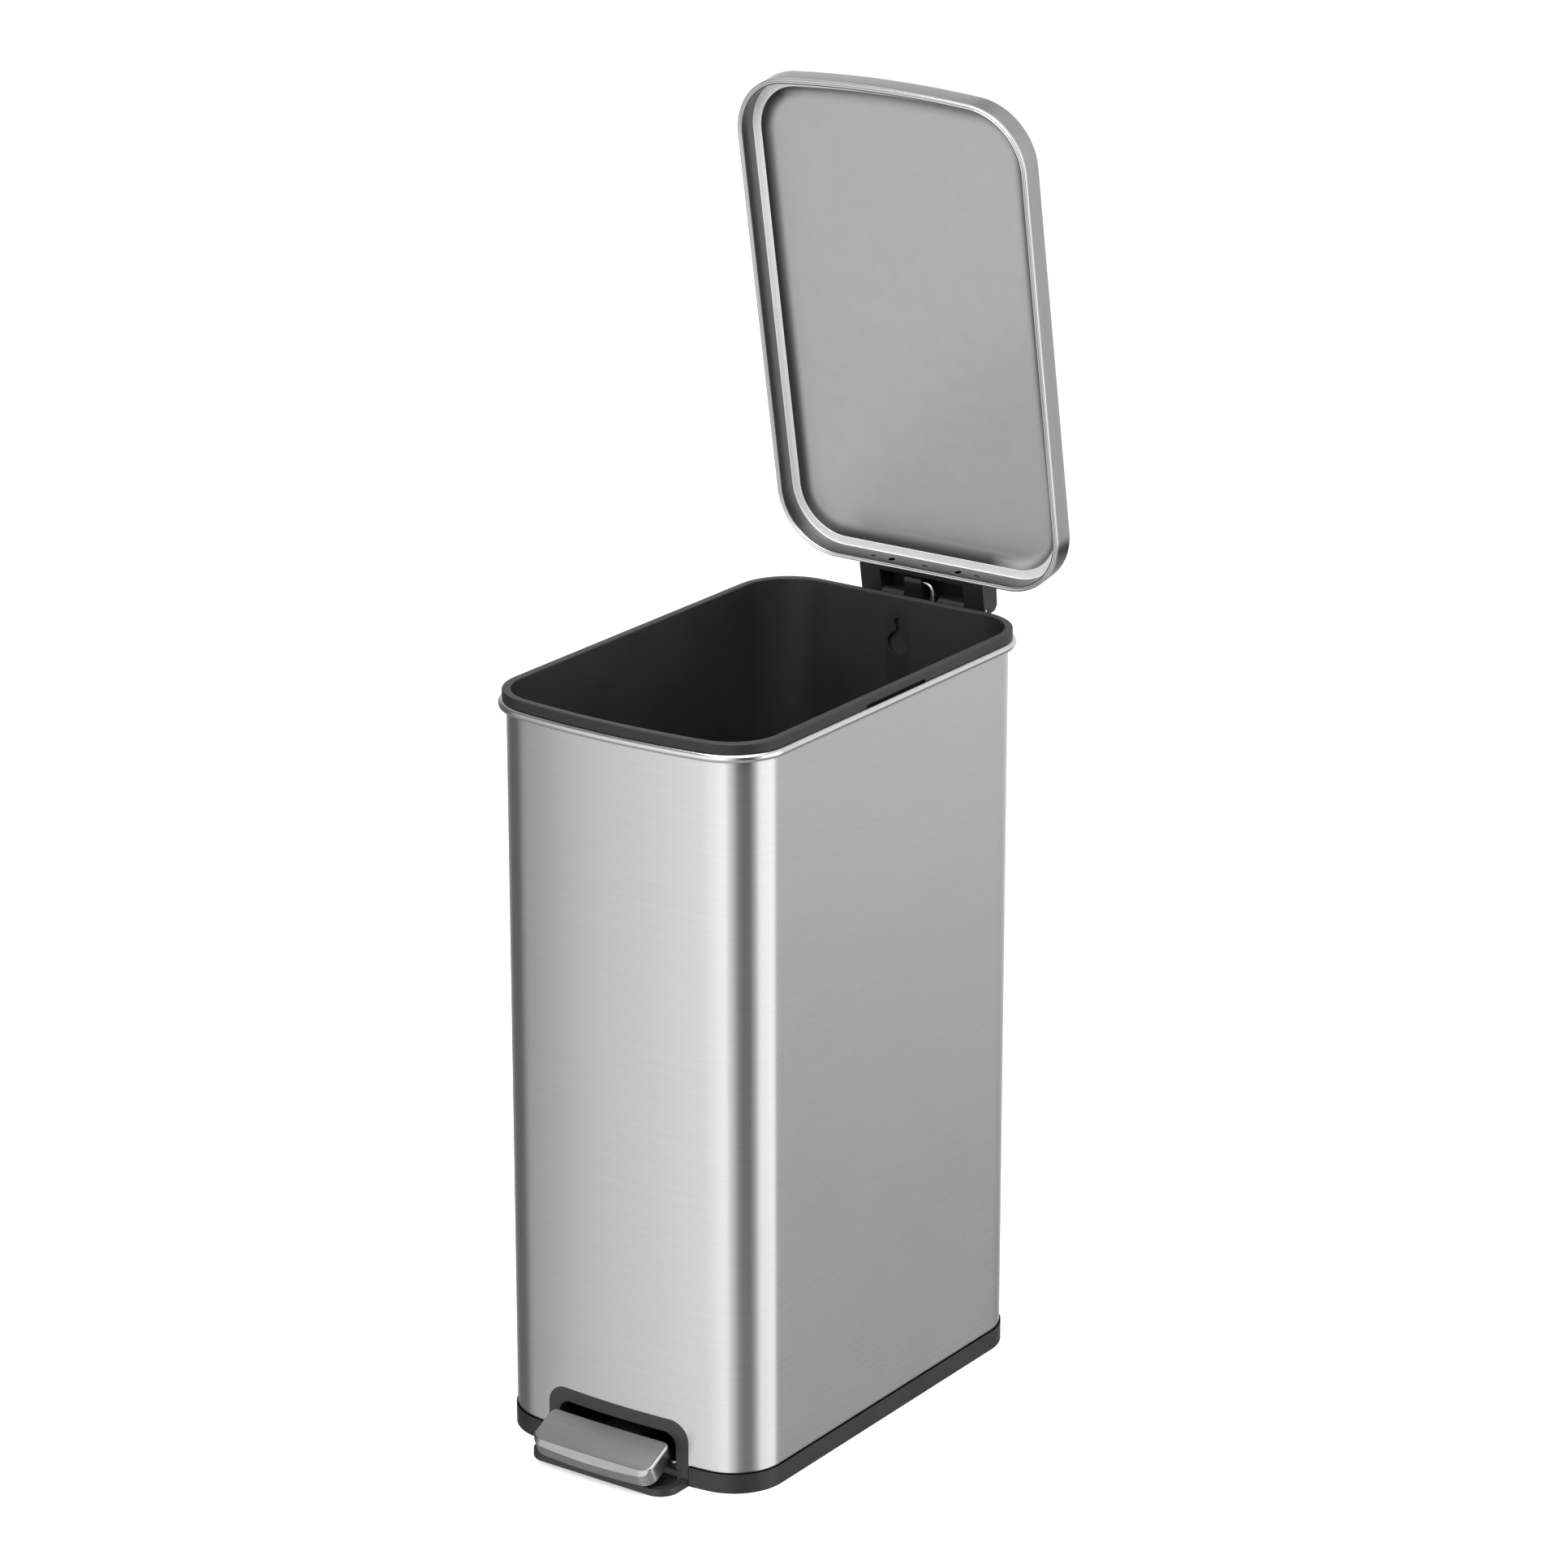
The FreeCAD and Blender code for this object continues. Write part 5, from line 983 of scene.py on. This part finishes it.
# brightness of the light tent by azimuth in degrees as in direction(): (azimuth, high up, low down)
TENT = [
    (-145, 1.10, 0.80),
    (-125, 0.42, 0.36),
    (-100, 0.17, 0.16),
    (-72, 0.17, 0.14),
    (-58, 0.39, 0.36),
    (-35, 1.00, 0.86),
    (-13, 1.42, 1.25),
    (20, 1.70, 1.50),
    (32, 0.95, 0.85),
    (48, 0.17, 0.17),
    (56, 0.08, 0.09),
    (70, 0.09, 0.10),
    (80, 0.60, 0.55),
    (92, 1.62, 1.55),
    (127, 1.70, 1.60),
    (133, 1.00, 0.13),
    (175, 0.90, 0.07),
    (205, 1.00, 0.60),
]
# the same for directions that go steeply down and steeply up
GROUND = [
    (-120, 0.30),
    (-67, 0.36),
    (-55, 0.60),
    (-41, 0.68),
    (0, 0.66),
    (60, 0.55),
    (110, 0.40),
    (150, 0.45),
]
CEILING = [
    (-150, 0.60),
    (-112, 0.52),
    (-60, 0.26),
    (0, 0.70),
    (90, 1.00),
    (150, 0.90),
]
TENT_FULL = 1.7


def tent_ramp(tree, where, levels):
    """Grey ramp all round the horizon from a list of (azimuth, level)."""
    ramp = tree.nodes.new("ShaderNodeValToRGB")
    ramp.color_ramp.interpolation = "EASE"
    fill_ramp(ramp, sorted(((azimuth / 360 + 0.25) % 1.0, level / TENT_FULL) for azimuth, level in levels))
    tree.links.new(where, ramp.inputs["Fac"])
    return ramp.outputs["Color"]


def by_height(tree, height, start, end, low, high):
    """Carries the low colour over into the high one between two heights of the direction."""
    share = tree.nodes.new("ShaderNodeMapRange")
    share.interpolation_type = "SMOOTHSTEP"
    share.inputs["From Min"].default_value = start
    share.inputs["From Max"].default_value = end
    tree.links.new(height, share.inputs["Value"])
    blend = tree.nodes.new("ShaderNodeMix")
    blend.data_type = "RGBA"
    tree.links.new(share.outputs["Result"], blend.inputs["Factor"])
    tree.links.new(low, blend.inputs["A"])
    tree.links.new(high, blend.inputs["B"])
    return blend.outputs["Result"]


def make_world():
    """A light tent whose brightness changes softly with the direction, plain white overhead."""
    world = bpy.data.worlds.new("tent")
    world.use_nodes = True
    tree = world.node_tree
    where = tree.nodes.new("ShaderNodeTexCoord").outputs["Generated"]
    round_about = tree.nodes.new("ShaderNodeTexGradient")
    round_about.gradient_type = "RADIAL"
    tree.links.new(where, round_about.inputs["Vector"])
    split = tree.nodes.new("ShaderNodeSeparateXYZ")
    tree.links.new(where, split.inputs["Vector"])
    height = split.outputs["Z"]
    azimuth = round_about.outputs["Fac"]
    high = tent_ramp(tree, azimuth, [(place, up) for place, up, _ in TENT])
    low = tent_ramp(tree, azimuth, [(place, down) for place, _, down in TENT])
    walls = by_height(tree, height, -0.44, -0.27, low, high)
    above_ground = by_height(tree, height, -0.58, -0.45, tent_ramp(tree, azimuth, GROUND), walls)
    tent = by_height(tree, height, 0.35, 0.75, above_ground, tent_ramp(tree, azimuth, CEILING))
    background = tree.nodes["Background"]
    background.inputs["Strength"].default_value = TENT_FULL
    tree.links.new(tent, background.inputs["Color"])
    bpy.context.scene.world = world
    bpy.context.scene.view_settings.view_transform = "Standard"


make_camera()
make_floor()
make_card()
make_world()
make_lamp()

make_sleeve()
make_bead()
make_bucket()
make_lid_skin()
make_lid_pan()
make_pedal_cap()
make_pedal_core()
dress_nodes()
